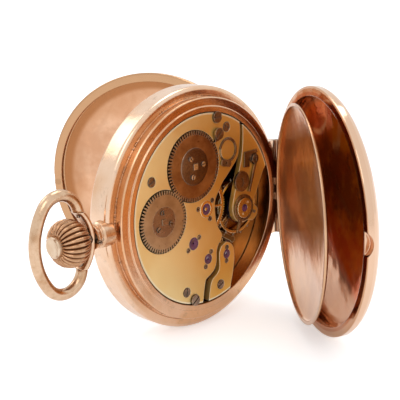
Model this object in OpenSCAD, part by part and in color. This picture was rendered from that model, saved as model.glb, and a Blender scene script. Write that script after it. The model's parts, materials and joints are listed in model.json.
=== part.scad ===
// Hunter pocket watch, crown at three o'clock, standing on its edge with all its lids open.
// Everything is drawn lying down, seen from the back of the movement: x to the hinge, y to
// twelve o'clock, z (called height below) from the dial to the back. place() stands it up.

/* [Case] */
// Radius of the case band and of both outer covers
case_r = 26.7; // [26.6:0.1:28]
// Depth of the case band between the two outer covers
band_depth = 5.6; // [5.4:0.1:6.2]
// Radius of the round edges of the band
band_round = 0.9; // [0.5:0.1:1.2]
// Outer radius of the ring that the back cover snaps over
back_ring_r = 24.4; // [24.3:0.1:24.7]
// Height of that ring above the band
back_ring_rise = 1.9; // [1.8:0.05:2.1]
// Outer radius of the step that the cuvette snaps over
step_r = 22.5; // [22.3:0.1:22.7]
// Height of that step above the ring
step_rise = 0.3; // [0.2:0.05:0.4]
// Gap between the movement's edge and the case
movement_gap = 0.25; // [0.15:0.05:0.3]

/* [Covers] */
// Wall of the two outer covers
cover_wall = 0.6; // [0.5:0.05:0.7]
// Height of the back cover's dome
back_cover_rise = 5.4; // [5.3:0.1:6.5]
// Height of the front cover's dome
front_cover_rise = 4.5; // [4.4:0.1:6]
// Gap between a cover's lip and the ring that it snaps over
cover_fit = 0.12; // [0.08:0.02:0.2]
// Height of the lip inside a cover's rim
lip_height = 1.5; // [1.2:0.1:1.8]
// Wall of the cuvette
cuvette_wall = 0.45; // [0.35:0.05:0.5]
// Height of the cuvette's dome
cuvette_rise = 2.15; // [2.1:0.05:2.3]
// Outer radius of the cuvette
cuvette_r = 23.3; // [23.1:0.1:23.4]
// How far the back cover stands open, in degrees
back_open = 59; // [50:1:75]
// How far the cuvette stands open, in degrees
cuvette_open = 51; // [40:1:52]
// How far the front cover stands open, in degrees
front_open = 61; // [50:1:75]

/* [Hinges] */
// Radius of the hinge tubes of the outer covers
knuckle_r = 0.85; // [0.75:0.05:0.95]
// Length of the hinges of the outer covers
hinge_length = 22.4; // [20:0.4:24]
// Distance of the outer hinges from the middle of the watch
hinge_x = 25.9; // [25.8:0.05:26.1]
// Height of an outer hinge above the edge of the band
hinge_rise = 0.62; // [0.55:0.01:0.7]
// Radius of the hinge pins
pin_r = 0.35; // [0.3:0.05:0.4]
// Gap between the knuckles of a hinge
knuckle_gap = 0.1; // [0.06:0.02:0.16]
// Radius of the cuvette's hinge tube
small_knuckle_r = 0.45; // [0.4:0.05:0.5]
// Length of the cuvette's hinge
small_hinge_length = 5.2; // [4.4:0.2:6]

/* [Bow and pendant] */
// Thickness of the bow's wire
bow_wire = 2.4; // [2:0.1:2.6]
// Height of the bow over its wire's middle
bow_height = 19.8; // [19:0.2:22]
// Reach of the bow from the watch's middle to its wire's middle
bow_reach = 43.1; // [42.6:0.1:45]
// Radius of the bow's two corners
bow_corner_r = 4.6; // [4.3:0.1:4.8]
// Distance of the bow's pivots from the watch's middle
bow_pivot_x = 32.2; // [31.8:0.1:32.6]
// Radius of the bow's pivot screws
bow_pin_r = 0.45; // [0.35:0.05:0.5]
// Half height of the yoke between the bow's ends
yoke_half = 5.8; // [5.6:0.1:6.2]
// Thickness of the yoke's wall
yoke_wall = 1.3; // [1.1:0.1:1.5]
// Depth of the yoke, front to back
yoke_depth = 3.2; // [2.6:0.2:3.6]
// Radius of the pendant's collar
collar_r = 2.7; // [2.5:0.1:2.8]
// Radius of the pendant's neck
neck_r = 2.2; // [2.1:0.1:2.3]
// Radius of the bore through the pendant
neck_bore_r = 1.45; // [1.4:0.05:1.5]

/* [Crown] */
// Largest radius of the crown
crown_r = 4.9; // [4.6:0.1:5.3]
// Length of the crown's fluted body
crown_length = 6.8; // [6.4:0.1:7.2]
// Number of the crown's flutes
crown_flutes = 26; // [20:1:30]
// Depth of one flute
flute_depth = 0.56; // [0.4:0.04:0.64]
// Radius of the button in the crown's end
button_r = 2.15; // [2:0.05:2.25]
// How far the crown pushes in
crown_travel = 0.5; // [0.3:0.1:0.5]

/* [Movement] */
// Radius of the movement
movement_r = 21; // [20.9:0.05:21.1]
// Height of the bridges' upper face above the band
bridge_top = 2.1; // [2:0.05:2.2]
// Thickness of the bridges
bridge_thick = 1.2; // [1.1:0.05:1.25]
// Space for the wheels between main plate and bridges
train_space = 2.4; // [2.35:0.05:2.5]
// Thickness of the main plate
plate_thick = 1.4; // [1.3:0.05:1.5]
// Gap between neighbouring bridges
bridge_gap = 0.9; // [0.7:0.05:1.1]
// Depth of the sinks that the winding wheels lie in
wheel_sink = 0.55; // [0.45:0.05:0.6]
// How far the winding wheels stand above the bridge
wheel_proud = 0.25; // [0.15:0.05:0.35]
// Radius of the bridge screws' heads
screw_head_r = 1.0; // [0.85:0.05:1.05]
// Radius of the bridge screws' shanks
screw_r = 0.45; // [0.35:0.05:0.5]
// Width of a screw's slot
slot_w = 0.28; // [0.16:0.02:0.3]

/* [Wheels] */
// Teeth of the ratchet wheel
ratchet_teeth = 66; // [64:1:66]
// Teeth of the crown wheel
crown_wheel_teeth = 57; // [55:1:57]
// Module of the winding wheels
winding_module = 0.2264; // [0.222:0.0002:0.228]
// Depth of the winding wheels' tooth gaps below the pitch line, in modules
gap_depth = 3; // [2.2:0.2:3.4]
// Teeth of the barrel
barrel_teeth = 80; // [80:1:80]
// Module of barrel and centre pinion
barrel_module = 0.237; // [0.234:0.0005:0.238]
// Module of centre wheel and third pinion
centre_module = 0.179; // [0.177:0.0005:0.18]
// Module of third wheel and fourth pinion
third_module = 0.147; // [0.145:0.0005:0.148]
// Module of fourth wheel and escape pinion
fourth_module = 0.1365; // [0.135:0.0005:0.138]
// Thickness of the train wheels
wheel_thick = 0.3; // [0.25:0.05:0.35]
// Radius of the escape wheel
escape_r = 3.4; // [3.2:0.1:3.5]
// Distance of the pallet arbor from the escape wheel
pallet_distance = 4.1; // [4.1:0.05:4.3]

/* [Balance] */
// Place of the balance to the right of the middle
balance_x = 11.8; // [11.7:0.05:11.9]
// Place of the balance above the middle
balance_y = -2.1; // [-2.2:0.05:-2]
// Outer radius of the balance rim
balance_r = 6.2; // [6:0.1:6.3]
// Width of the balance rim
balance_rim = 0.6; // [0.5:0.05:0.75]
// Number of timing screws
timing_screws = 16; // [12:2:18]
// Radius of the hairspring
hairspring_r = 3.7; // [3.4:0.1:3.8]
// Coils of the hairspring
hairspring_coils = 7; // [5:1:8]

/* [Dial and hands] */
// Radius of the dial
dial_r = 21.3; // [21.1:0.1:21.4]
// Thickness of the dial
dial_thick = 0.6; // [0.5:0.05:0.65]
// Length of the minute hand
minute_length = 17.5; // [15:0.5:18.5]
// Length of the hour hand
hour_length = 11.5; // [9:0.5:12.5]
// Length of the seconds hand
seconds_length = 3.4; // [2.5:0.1:3.8]
// Thickness of the crystal
crystal_thick = 0.8; // [0.6:0.1:1]
// Height of the crystal's dome
crystal_rise = 0.8; // [0.5:0.1:0.9]

/* [Hidden] */
$fn = 64;
e = 0.01;
// running clearance round shafts and pins, and between faces that turn on each other
run = 0.03;

// metals
rose = [0.86, 0.60, 0.44];
rose_deep = [0.62, 0.30, 0.16];
gilt = [0.80, 0.62, 0.33];
steel = [0.36, 0.29, 0.26];
ruby = [0.36, 0.08, 0.22];

// heights, from the dial (down) to the back (up); 0 is the back edge of the band
band_front = -band_depth;
ring_top = back_ring_rise;
step_top = ring_top + step_rise;
stem_h = -1.6;
deck_bot = bridge_top - bridge_thick;
plate_top = deck_bot - train_space;
plate_bot = plate_top - plate_thick;
motion_space = 1.1;
dial_back = plate_bot - motion_space;
dial_top = dial_back - dial_thick;
shoulder = plate_bot + 0.55;
neck_top = band_front - 0.65;
bezel_top = neck_top - 1.05;
crystal_seat = neck_top - 0.45;

// radii of the case
bore_r = movement_r + movement_gap;
flange_r = movement_r + 0.5;
front_bore_r = max(flange_r, dial_r) + movement_gap;
front_ring_r = back_ring_r - 0.1;
bezel_neck_r = front_ring_r - 1.3;

// hinges: distance from the middle, height of the axis, opening angle
back_axis = [hinge_x, hinge_rise];
front_axis = [hinge_x, band_front - hinge_rise];
cuvette_axis = [cuvette_r + 0.5, ring_top + 0.05 + small_knuckle_r];

// puts the middle of the open watch, from bow to hinge and from lid to lid, over the origin
back_reach = back_axis[1] + (hinge_x + case_r) * sin(back_open);
front_reach = -front_axis[1] + (hinge_x + case_r) * sin(front_open);
stand_x = (bow_reach + bow_wire / 2 - hinge_x - 1.6) / 2;
stand_y = -(front_reach - back_reach) / 2;

// bow and yoke, from the pivots and the back of the yoke
yoke_back_x = bow_pivot_x - 2.3;
yoke_reach = bow_pivot_x - yoke_back_x;
yoke_r = (yoke_reach * yoke_reach + yoke_half * yoke_half) / (2 * yoke_reach);
yoke_x = -yoke_back_x - yoke_r;
bow_corner_y = bow_height / 2 - bow_corner_r;
bow_end_y = yoke_half + 0.06;
bow_corner_x = bow_pivot_x + sqrt(pow(bow_corner_r, 2) - pow(bow_end_y - bow_corner_y, 2));
bow_end_a = asin((bow_end_y - bow_corner_y) / bow_corner_r);
bow_w = bow_reach - bow_corner_x;
bow_side_r = (bow_w * bow_w + bow_corner_y * bow_corner_y - bow_corner_r * bow_corner_r)
    / (2 * (bow_w - bow_corner_r));
bow_side_x = -bow_reach + bow_side_r;
bow_angle = atan2(bow_corner_y, bow_corner_x + bow_side_x);

// crown: distance of its inner end from the middle
crown_x = -(yoke_back_x + 1.6);
plunger_r = neck_bore_r - run;
stem_r = 0.7;

// train: every wheel lies at its centre distance from the one that it meshes with
centre_pinion_teeth = 10;
centre_teeth = 80;
third_pinion_teeth = 10;
third_teeth = 75;
fourth_pinion_teeth = 10;
fourth_teeth = 80;
escape_pinion_teeth = 8;
escape_teeth = 15;
function at(c, d, a) = [c.x + d * cos(a), c.y + d * sin(a)];
function mesh_distance(n1, n2, m) = m * (n1 + n2) / 2;
function dir(a, b) = atan2(b.y - a.y, b.x - a.x);
centre_pos = [0, 0];
barrel_angle = 108.6;
barrel_pos = at(centre_pos, mesh_distance(barrel_teeth, centre_pinion_teeth, barrel_module), barrel_angle);
third_angle = -122.3;
third_pos = at(centre_pos, mesh_distance(centre_teeth, third_pinion_teeth, centre_module), third_angle);
third_fourth = mesh_distance(third_teeth, fourth_pinion_teeth, third_module);
fourth_pos = at(third_pos, third_fourth, -acos(-third_pos.x / third_fourth));
escape_angle = -3;
escape_pos = at(fourth_pos, mesh_distance(fourth_teeth, escape_pinion_teeth, fourth_module), escape_angle);
winding_distance = mesh_distance(ratchet_teeth, crown_wheel_teeth, winding_module);
crown_wheel_pos = [barrel_pos.x - sqrt(pow(winding_distance, 2) - pow(barrel_pos.y, 2)), 0];
balance_pos = [balance_x, balance_y];
lever_angle = dir(escape_pos, balance_pos);
pallet_pos = at(escape_pos, pallet_distance, lever_angle);

// a wheel in mesh: phase of wheel b that meets wheel a of phase pa
function phase_of(a, na, pa, b, nb) = dir(a, b) + 180 + 180 / nb - (na / nb) * (pa - dir(a, b));
centre_pinion_phase = phase_of(barrel_pos, barrel_teeth, 0, centre_pos, centre_pinion_teeth);
third_pinion_phase = phase_of(centre_pos, centre_teeth, 0, third_pos, third_pinion_teeth);
fourth_pinion_phase = phase_of(third_pos, third_teeth, 0, fourth_pos, fourth_pinion_teeth);
escape_pinion_phase = phase_of(fourth_pos, fourth_teeth, 0, escape_pos, escape_pinion_teeth);
crown_wheel_phase = phase_of(barrel_pos, ratchet_teeth, 0, crown_wheel_pos, crown_wheel_teeth);
tooth_add = 0.9;
function tip_r(n, m) = m * (n / 2 + tooth_add);

// heights of the wheels below the upper face of the bridges
wheel_floor = bridge_top - wheel_sink;
wheel_face = bridge_top + wheel_proud;
centre_h = deck_bot - 0.2 - wheel_thick;
barrel_h = [plate_top + 0.2, plate_top + 1.75];
third_h = plate_top + 0.3;
fourth_h = plate_top + 1.25;
escape_h = plate_top + 0.4;
balance_h = plate_top + 1.0;
balance_depth = 0.7;
hairspring_h = deck_bot - 0.55;

// crown wheel and its contrate ring, which the winding pinion meets
pinion_r = 2.25;
contrate_r = [4.55, 5.65];
winding_pinion_teeth = 16;
contrate_teeth = 40;
core_r = 3.25;
pinion_x = crown_wheel_pos.x - contrate_r[1];
winding_pinion_w = 1.6;
sliding_pinion_w = 1.8;

// jewels: place, radius, hole, angles of their screws and the distance of these
jewel_data = [
    [centre_pos, 1.25, 0.38, [40, -66, 169], 2.55],
    [third_pos, 1.4, 0.2, [31, 215], 2.05],
    [fourth_pos, 1.15, 0.2, [55, 242], 1.8],
    [escape_pos, 1.05, 0.16, [85, 266], 1.55]];
setting_r = 1.9;
jewel_screw_r = 0.5;

// click and its round spring
click_pos = [4.1, 16.1];
spring_pos = [7.4, 11.9];
spring_r = [2.3, 2.75];
click_head_r = 1.3;
spring_foot = at(spring_pos, (spring_r[0] + spring_r[1]) / 2 + 0.4, -110);

// bridge screws, and the two case screws at the movement's edge
screw_spots = [[-15.7, 9.0], [-7.0, -17.2], [7.2, 17.1], [3.7, -18.2], [15.8, 8.6]];
case_screw_angles = [78, -103.5];
case_screw_r = 1.25;
case_screw_d = bore_r - case_screw_r + 0.12;

// balance
stud_pos = at(balance_pos, hairspring_r + 0.3, -24);
endpiece_r = 2.3;
cam_pos = [11.3, 4.1];
cam_r = 2.3;

// outlines of the bridges, with x to the hinge and y to twelve o'clock
train_edge = [[11.3, 19], [11.5, 17.2], [11.6, 15], [11.1, 11.5], [10.3, 9.5], [8.6, 7.8],
    [6.8, 6.2], [5.5, 5.1], [4.4, 3.7], [3.3, 2.3], [2.7, 0.8], [2.6, -0.8], [2.8, -2.6],
    [3.2, -4.3], [3.9, -5.5], [4.6, -6.7], [4.4, -7.8], [3.4, -8.8], [2.7, -10.4],
    [2.6, -12.4], [1.9, -14.1], [0.5, -15.1], [-0.9, -15.8], [-1.4, -17.2], [-2, -20],
    [-2.4, -22]];
channel_side = [[3.4, -9.2], [2.7, -10.4], [2.6, -12.4], [2.5, -14.1], [1.7, -15.2],
    [0.3, -16], [-0.5, -17.4], [-1.1, -20], [-1.4, -22]];
escape_edge = [[6.3, -22], [7, -19], [7.9, -16], [8.4, -13], [8.2, -10.6], [7, -9.2],
    [5.4, -8.8]];
cock_edge = [[13.4, 22], [12.6, 18], [12.5, 14.5], [12.3, 12], [11.8, 9.3], [10.9, 6.6],
    [9.7, 3], [8.9, 0.6], [8.4, -1.6], [8.7, -3.5], [9.9, -4.9], [11.6, -5.5], [13.5, -5.3],
    [15, -5.7], [16.3, -4.9], [16.8, -3.4], [16, -2.4], [15.4, -1.7], [15.8, -0.6],
    [16.6, 0.8], [17.8, 3], [19.2, 5.4], [21.5, 8]];

// smooth line through a list of points
function smooth(p, n = 3) = [for (i = [0 : len(p) - 2], k = [0 : n - 1])
    let (t = k / n, a = p[max(i - 1, 0)], b = p[i], c = p[i + 1], d = p[min(i + 2, len(p) - 1)])
    0.5 * (2 * b + (c - a) * t + (2 * a - 5 * b + 4 * c - d) * t * t
    + (3 * b - a - 3 * c + d) * t * t * t)];

// ---------- general shapes ----------

// the watch stands on the band and on the rims of its lids
module place() {
    translate([stand_x, stand_y, case_r]) rotate([90, 0, 0]) children();
}

// turns a lid about its hinge
module swing(axis, a) {
    translate([axis[0], 0, axis[1]]) rotate([0, a, 0]) translate([-axis[0], 0, -axis[1]]) children();
}

// drum between two heights
module drum(r, h1, h2, p = [0, 0]) {
    translate([p.x, p.y, h1]) cylinder(r = r, h = h2 - h1);
}

module tube(r1, r2, h1, h2, p = [0, 0]) {
    difference() {
        drum(r2, h1, h2, p);
        drum(r1, h1 - 1, h2 + 1, p);
    }
}

// shaft along the hinge direction (y) or along the stem (x)
module rod_y(r, y1, y2, x, h) {
    translate([x, y2, h]) rotate([90, 0, 0]) cylinder(r = r, h = y2 - y1);
}

module rod_x(r, x1, x2, y = 0, h = stem_h) {
    translate([x1, y, h]) rotate([0, 90, 0]) cylinder(r = r, h = x2 - x1);
}

module block(x1, x2, y1, y2, h1, h2) {
    translate([x1, y1, h1]) cube([x2 - x1, y2 - y1, h2 - h1]);
}

// outline of a toothed wheel
module teeth(n, m, phase, root = 0) {
    step = 360 / n;
    half = concat(root > 0 ? [[m * (n / 2 - root), 0.29]] : [],
        [[m * (n / 2 - 1.15), 0.28], [m * n / 2, 0.21], [m * (n / 2 + tooth_add), 0.09]]);
    shape = concat([for (s = half) [s[0], -s[1]]], reversed(half));
    polygon([for (i = [0 : n - 1], s = shape)
        let (a = phase + (i + s[1]) * step) s[0] * [cos(a), sin(a)]]);
}

// train wheel: toothed rim, arms and hub
module spoked(n, m, phase, rim, hub, arms, arm_w, h, thick, p) {
    r_in = m * (n / 2 - 1.15) - rim;
    translate([p.x, p.y, h]) {
        difference() {
            linear_extrude(thick) teeth(n, m, phase);
            translate([0, 0, -1]) cylinder(r = r_in, h = thick + 2);
        }
        for (i = [0 : arms - 1]) rotate(i * 360 / arms - 5)
            translate([hub / 2, -arm_w / 2, 0]) cube([r_in - hub / 2 + 0.15, arm_w, thick]);
        cylinder(r = hub, h = thick);
    }
}

// pinion on its arbor with a thin pivot at each end
module arbor(n, m, phase, h, len, r, pivot, h1, h2, p) {
    translate([p.x, p.y, h]) linear_extrude(len) teeth(n, m, phase);
    drum(r, h1, h2, p);
    drum(pivot, h1 - 0.45, h2 + 0.45, p);
}

// slotted screw with its head's top at height h
module screw(p, head, shank, h, head_h, depth, a = 30) {
    difference() {
        union() {
            drum(head, h - head_h, h, p);
            drum(shank, h - depth, h - head_h + e, p);
        }
        translate([p.x, p.y, h - 0.15]) rotate(a)
            translate([-head - 1, -slot_w / 2, 0]) cube([2 * head + 2, slot_w, 1]);
    }
}

// strip wound as a flat spiral
module spiral(r1, r2, coils, w, h, thick, p, a0) {
    n = 24;
    steps = n * coils;
    function pt(k, off) = let (r = r1 + (r2 - r1) * k / steps + off, a = a0 + 360 * k / n)
        [r * cos(a), r * sin(a)];
    translate([p.x, p.y, h]) linear_extrude(thick)
        polygon(concat([for (k = [0 : steps]) pt(k, -w / 2)],
            [for (k = [steps : -1 : 0]) pt(k, w / 2)]));
}

// outline of a dome: superellipse of radius r and rise h
function dome(r, h, n, a1 = 0, steps = 12) = [for (i = [0 : steps])
    let (t = a1 + (90 - a1) * i / steps) [r * pow(cos(t), 2 / n), h * pow(sin(t), 2 / n)]];
function reversed(v) = [for (i = [len(v) - 1 : -1 : 0]) v[i]];
function raised(v, h) = [for (p = v) [p.x, p.y + h]];

// ---------- case ----------

module case_outline() {
    r = band_round;
    lip = back_ring_r - 0.12;
    polygon(concat(
        [[bore_r, shoulder], [bore_r, step_top], [step_r - 0.12, step_top], [step_r, step_top - 0.12],
            [step_r, ring_top], [back_ring_r - 0.2, ring_top], [back_ring_r, ring_top - 0.2],
            [back_ring_r, 0.35], [lip, 0.2], [lip, -0.15], [lip + 0.45, -0.15], [lip + 0.45, 0]],
        [for (a = [90 : -15 : 0]) [case_r - r + r * cos(a), -r + r * sin(a)]],
        [for (a = [0 : -15 : -90]) [case_r - r + r * cos(a), band_front + r + r * sin(a)]],
        [[front_ring_r - 0.4, band_front], [front_ring_r - 0.4, band_front + 0.1],
            [bezel_neck_r, band_front + 0.1], [bezel_neck_r, neck_top],
            [front_bore_r, neck_top], [front_bore_r, shoulder]]));
}

// hinge knuckles number i of n; the even ones belong to the case, the odd ones to the lid
module knuckles(axis, r, len, n, first, grow = 0) {
    seg = len / n;
    for (i = [first : 2 : n - 1])
        rod_y(r + grow, -len / 2 + i * seg + knuckle_gap / 2 - grow,
            -len / 2 + (i + 1) * seg - knuckle_gap / 2 + grow, axis[0], axis[1]);
}

// straight seat that carries a hinge on the round band; s is 1 at the back, -1 at the front
module hinge_seat(axis, edge, s) {
    inner = (s > 0) ? back_ring_r : front_ring_r + cover_fit;
    low = min(edge - s * 1.3, axis[1] - s * 0.04);
    high = max(edge - s * 1.3, axis[1] - s * 0.04);
    difference() {
        block(18, axis[0], -hinge_length / 2 + knuckle_gap / 2, hinge_length / 2 - knuckle_gap / 2,
            low, high);
        drum(inner - 0.06, low - 1, high + 1);
    }
}

module case_middle() {
    color(rose) place() difference() {
        union() {
            difference() {
                union() {
                    rotate_extrude($fn = 128) case_outline();
                    hinge_seat(back_axis, 0, 1);
                    hinge_seat(front_axis, band_front, -1);
                }
                knuckles(back_axis, knuckle_r, hinge_length, 5, 1, knuckle_gap / 2);
                knuckles(front_axis, knuckle_r, hinge_length, 5, 1, knuckle_gap / 2);
            }
            knuckles(back_axis, knuckle_r, hinge_length, 5, 0);
            knuckles(front_axis, knuckle_r, hinge_length, 5, 0);
            // seats and knuckles of the cuvette's hinge, on the ring
            for (s = [-1, 1]) intersection() {
                union() {
                    seg = small_hinge_length / 3;
                    block(cuvette_axis[0] - small_knuckle_r, cuvette_axis[0] + small_knuckle_r,
                        s > 0 ? seg / 2 + knuckle_gap / 2 : -1.5 * seg,
                        s > 0 ? 1.5 * seg : -seg / 2 - knuckle_gap / 2,
                        ring_top - 0.3, cuvette_axis[1]);
                    knuckles(cuvette_axis, small_knuckle_r, small_hinge_length, 3, 0);
                }
                drum(back_ring_r, 0, 4);
            }
        }
        rod_y(pin_r + e, -hinge_length, hinge_length, back_axis[0], back_axis[1]);
        rod_y(pin_r + e, -hinge_length, hinge_length, front_axis[0], front_axis[1]);
        rod_y(pin_r * 0.5 + e, -small_hinge_length, small_hinge_length, cuvette_axis[0], cuvette_axis[1]);
        // hole for the pendant, and the bore for the crown's plunger
        rod_x(collar_r + 0.02, -case_r - 4, -back_ring_r - 0.6);
        rod_x(neck_bore_r, -case_r, -bore_r + 2);
        // pockets for the lock spring and the lift spring
        for (a = [spring_arc[0], spring_arc[1]]) spring_strip(a, 0.05, front_bore_r - 1);
    }
}

// the two case springs: start angle of each, their spread and their heights
spring_arc = [128, -40];
spring_spread = 80;
spring_h = [shoulder - 2.4, shoulder - 1.2];
case_spring_r = front_bore_r + 0.45;
case_spring_w = 0.55;
module spring_strip(a, grow, r_in) {
    out = (grow > 0) ? case_spring_r + case_spring_w + grow : case_spring_r + case_spring_w;
    rotate(a - grow) rotate_extrude(angle = spring_spread + 2 * grow, $fn = 96)
        translate([r_in, spring_h[0] - grow])
            square([out - r_in, spring_h[1] - spring_h[0] + 2 * grow]);
}

module case_springs() {
    color(steel) place() difference() {
        for (a = spring_arc) spring_strip(a, 0, case_spring_r);
        rod_x(neck_bore_r + 0.1, -case_r, -front_bore_r + 1);
    }
}

// collar and neck of the pendant, turned about the stem
collar_in = back_ring_r + 0.62;
collar_out = case_r + 1.3;
neck_out = yoke_back_x + 0.1;
// how much the neck widens toward the yoke
neck_flare = 0.5;
set_screw_top = neck_r + neck_flare - 0.2;
module pendant() {
    color(rose) place() difference() {
        translate([0, 0, stem_h]) rotate([0, -90, 0]) rotate_extrude()
            polygon([[neck_bore_r, collar_in], [collar_r, collar_in], [collar_r, collar_out - 0.3],
                [collar_r - 0.3, collar_out], [neck_r, collar_out + 0.1],
                [neck_r, collar_out + 0.35], [neck_r + neck_flare - 0.15, collar_out + 0.75],
                [neck_r + neck_flare, neck_out],
                [neck_bore_r, neck_out]]);
        translate([yoke_x, 0, 0]) drum(yoke_r + yoke_wall / 2 + e, stem_h - 5, stem_h + 5);
        pendant_screw_hole(0.02);
    }
}

set_screw_x = -((collar_out + neck_out) / 2 - 0.1);
module pendant_screw_hole(grow) {
    translate([set_screw_x, -0.7, stem_h]) cylinder(r = 0.5 + grow, h = 5, $fn = 32);
}

module pendant_screws() {
    color(steel) place() {
        // set screw in the neck
        difference() {
            translate([set_screw_x, -0.7, stem_h + neck_bore_r + 0.1])
                cylinder(r = 0.5, h = set_screw_top - neck_bore_r - 0.1, $fn = 32);
            translate([set_screw_x - 1, -0.7 - slot_w / 2, stem_h + set_screw_top - 0.2]) cube([2, slot_w, 1]);
        }
        // pivot screws of the bow
        for (s = [-1, 1]) rod_y(bow_pin_r, s > 0 ? yoke_half - 1.15 : -yoke_half - 1.1,
            s > 0 ? yoke_half + 1.1 : -yoke_half + 1.15, -bow_pivot_x, stem_h);
    }
}

module stadium(w, d) {
    square([w, d - w], center = true);
    for (s = [-1, 1]) translate([0, s * (d - w) / 2]) circle(r = w / 2, $fn = 32);
}

module yoke() {
    a = asin((yoke_half + 1) / yoke_r);
    color(rose) place() difference() {
        intersection() {
            translate([yoke_x, 0, stem_h]) rotate(-a) rotate_extrude(angle = 2 * a, $fn = 96)
                translate([yoke_r, 0]) stadium(yoke_wall, yoke_depth);
            block(yoke_x, 0, -yoke_half, yoke_half, stem_h - 5, stem_h + 5);
        }
        rod_x(neck_bore_r + 0.05, -40, -20);
        for (s = [-1, 1]) rod_y(bow_pin_r + e, s > 0 ? yoke_half - 1.17 : -yoke_half - 2,
            s > 0 ? yoke_half + 2 : -yoke_half + 1.17, -bow_pivot_x, stem_h);
    }
}

module bow() {
    // centre line of one half, from the pivot's end face round the corner to the middle
    half = concat([for (i = [0 : 16]) let (a = bow_end_a + (180 - bow_angle - bow_end_a) * i / 16)
            [-bow_corner_x + bow_corner_r * cos(a), bow_corner_y + bow_corner_r * sin(a), a]],
        [for (i = [1 : 10]) let (a = 180 - bow_angle + bow_angle * i / 10)
            [bow_side_x + bow_side_r * cos(a), bow_side_r * sin(a), a]]);
    n = len(half);
    path = concat(half, [for (i = [n - 2 : -1 : 0]) [half[i][0], -half[i][1], 360 - half[i][2]]]);
    rings = len(path);
    around = 24;
    points = [for (i = [0 : rings - 1], k = [0 : around - 1])
        let (p = path[i], w = bow_wire / 2, f = 360 * k / around, r = w * cos(f))
        [p[0] + r * cos(p[2]), i == 0 ? bow_end_y : i == rings - 1 ? -bow_end_y
            : p[1] + r * sin(p[2]), w * sin(f)]];
    faces = concat(
        [for (i = [0 : rings - 2], k = [0 : around - 1]) let (m = (k + 1) % around)
            [i * around + k, i * around + m, (i + 1) * around + m, (i + 1) * around + k]],
        [[for (k = [around - 1 : -1 : 0]) k]],
        [[for (k = [0 : around - 1]) (rings - 1) * around + k]]);
    color(rose) place() difference() {
        translate([0, 0, stem_h]) polyhedron(points, faces);
        for (s = [-1, 1]) rod_y(bow_pin_r + run, s > 0 ? bow_end_y - 1 : -bow_end_y - 1.2,
            s > 0 ? bow_end_y + 1.2 : -bow_end_y + 1, -bow_pivot_x, stem_h);
    }
}

// bezel that holds the crystal, under the front cover
module bezel() {
    color(rose) place() rotate_extrude($fn = 128)
        polygon([[bezel_neck_r + 0.04, band_front - 0.02], [front_ring_r - 0.06, band_front - 0.02],
            [front_ring_r, band_front - 0.2], [front_ring_r, bezel_top + 0.4],
            [front_ring_r - 0.4, bezel_top], [front_bore_r + 0.45, bezel_top],
            [front_bore_r + 0.45, crystal_seat], [front_bore_r - 0.7, crystal_seat],
            [front_bore_r - 0.7, neck_top - 0.03], [bezel_neck_r + 0.04, neck_top - 0.03]]);
}

module crystal() {
    r = front_bore_r + 0.4;
    function sag(x) = -crystal_rise * sqrt(1 - pow(x / (r + 0.4), 2));
    color([0.85, 0.92, 0.95, 0.35]) place() rotate_extrude($fn = 128)
        polygon(concat([for (i = [0 : 8]) [r * i / 8, crystal_seat - e + sag(r * i / 8) - sag(r)]],
            [for (i = [8 : -1 : 0]) [r * i / 8, crystal_seat - e - crystal_thick + sag(r * i / 8) - sag(r)]]));
}

// ---------- lids ----------

// outer cover, closed, with its rim at height 0 and its dome upwards
module cover_shell(rise, lip_r) {
    rotate_extrude($fn = 128) polygon(concat(
        [[lip_r, 0.05], [case_r - 0.5, 0.05], [case_r - 0.15, 0.2]],
        dome(case_r, rise, 3, 8),
        reversed(dome(case_r - cover_wall, rise - cover_wall, 3, 14)),
        [[lip_r + 0.5, lip_height], [lip_r, lip_height - 0.3]]));
}

// a cover with its hinge cut and its notch for the pendant; rel is the hinge's height
module cover(rise, lip_r, rel, notch_r, stem_rel) {
    axis = [hinge_x, rel];
    half = hinge_length / 2 + knuckle_gap;
    difference() {
        union() {
            difference() {
                cover_shell(rise, lip_r);
                block(axis[0], 30, -half, half, -5, rise + 1);
                block(18, 30, -half, half, -5, axis[1] + 0.04);
                knuckles(axis, knuckle_r, hinge_length, 5, 0, knuckle_gap / 2);
                rod_x(notch_r, -30, -lip_r - 0.4, 0, stem_rel);
            }
            difference() {
                union() {
                    knuckles(axis, knuckle_r, hinge_length, 5, 1);
                    for (i = [1, 3]) block(axis[0] - knuckle_r - 0.3, axis[0],
                        -hinge_length / 2 + i * hinge_length / 5 + knuckle_gap / 2,
                        -hinge_length / 2 + (i + 1) * hinge_length / 5 - knuckle_gap / 2,
                        axis[1] + 0.04, axis[1] + knuckle_r);
                }
                drum(lip_r, -5, lip_height);
            }
        }
        rod_y(pin_r + run, -hinge_length, hinge_length, axis[0], axis[1]);
    }
}

module back_cover() {
    color(rose_deep) place() swing(back_axis, back_open)
        cover(back_cover_rise, back_ring_r + cover_fit, hinge_rise, collar_r + 0.15, stem_h);
}

module front_cover() {
    color(rose) place() swing(front_axis, -front_open)
        translate([0, 0, band_front]) mirror([0, 0, 1])
            cover(front_cover_rise, front_ring_r + cover_fit, hinge_rise,
                band_depth + stem_h + 0.4, -(band_depth + stem_h));
}

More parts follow.
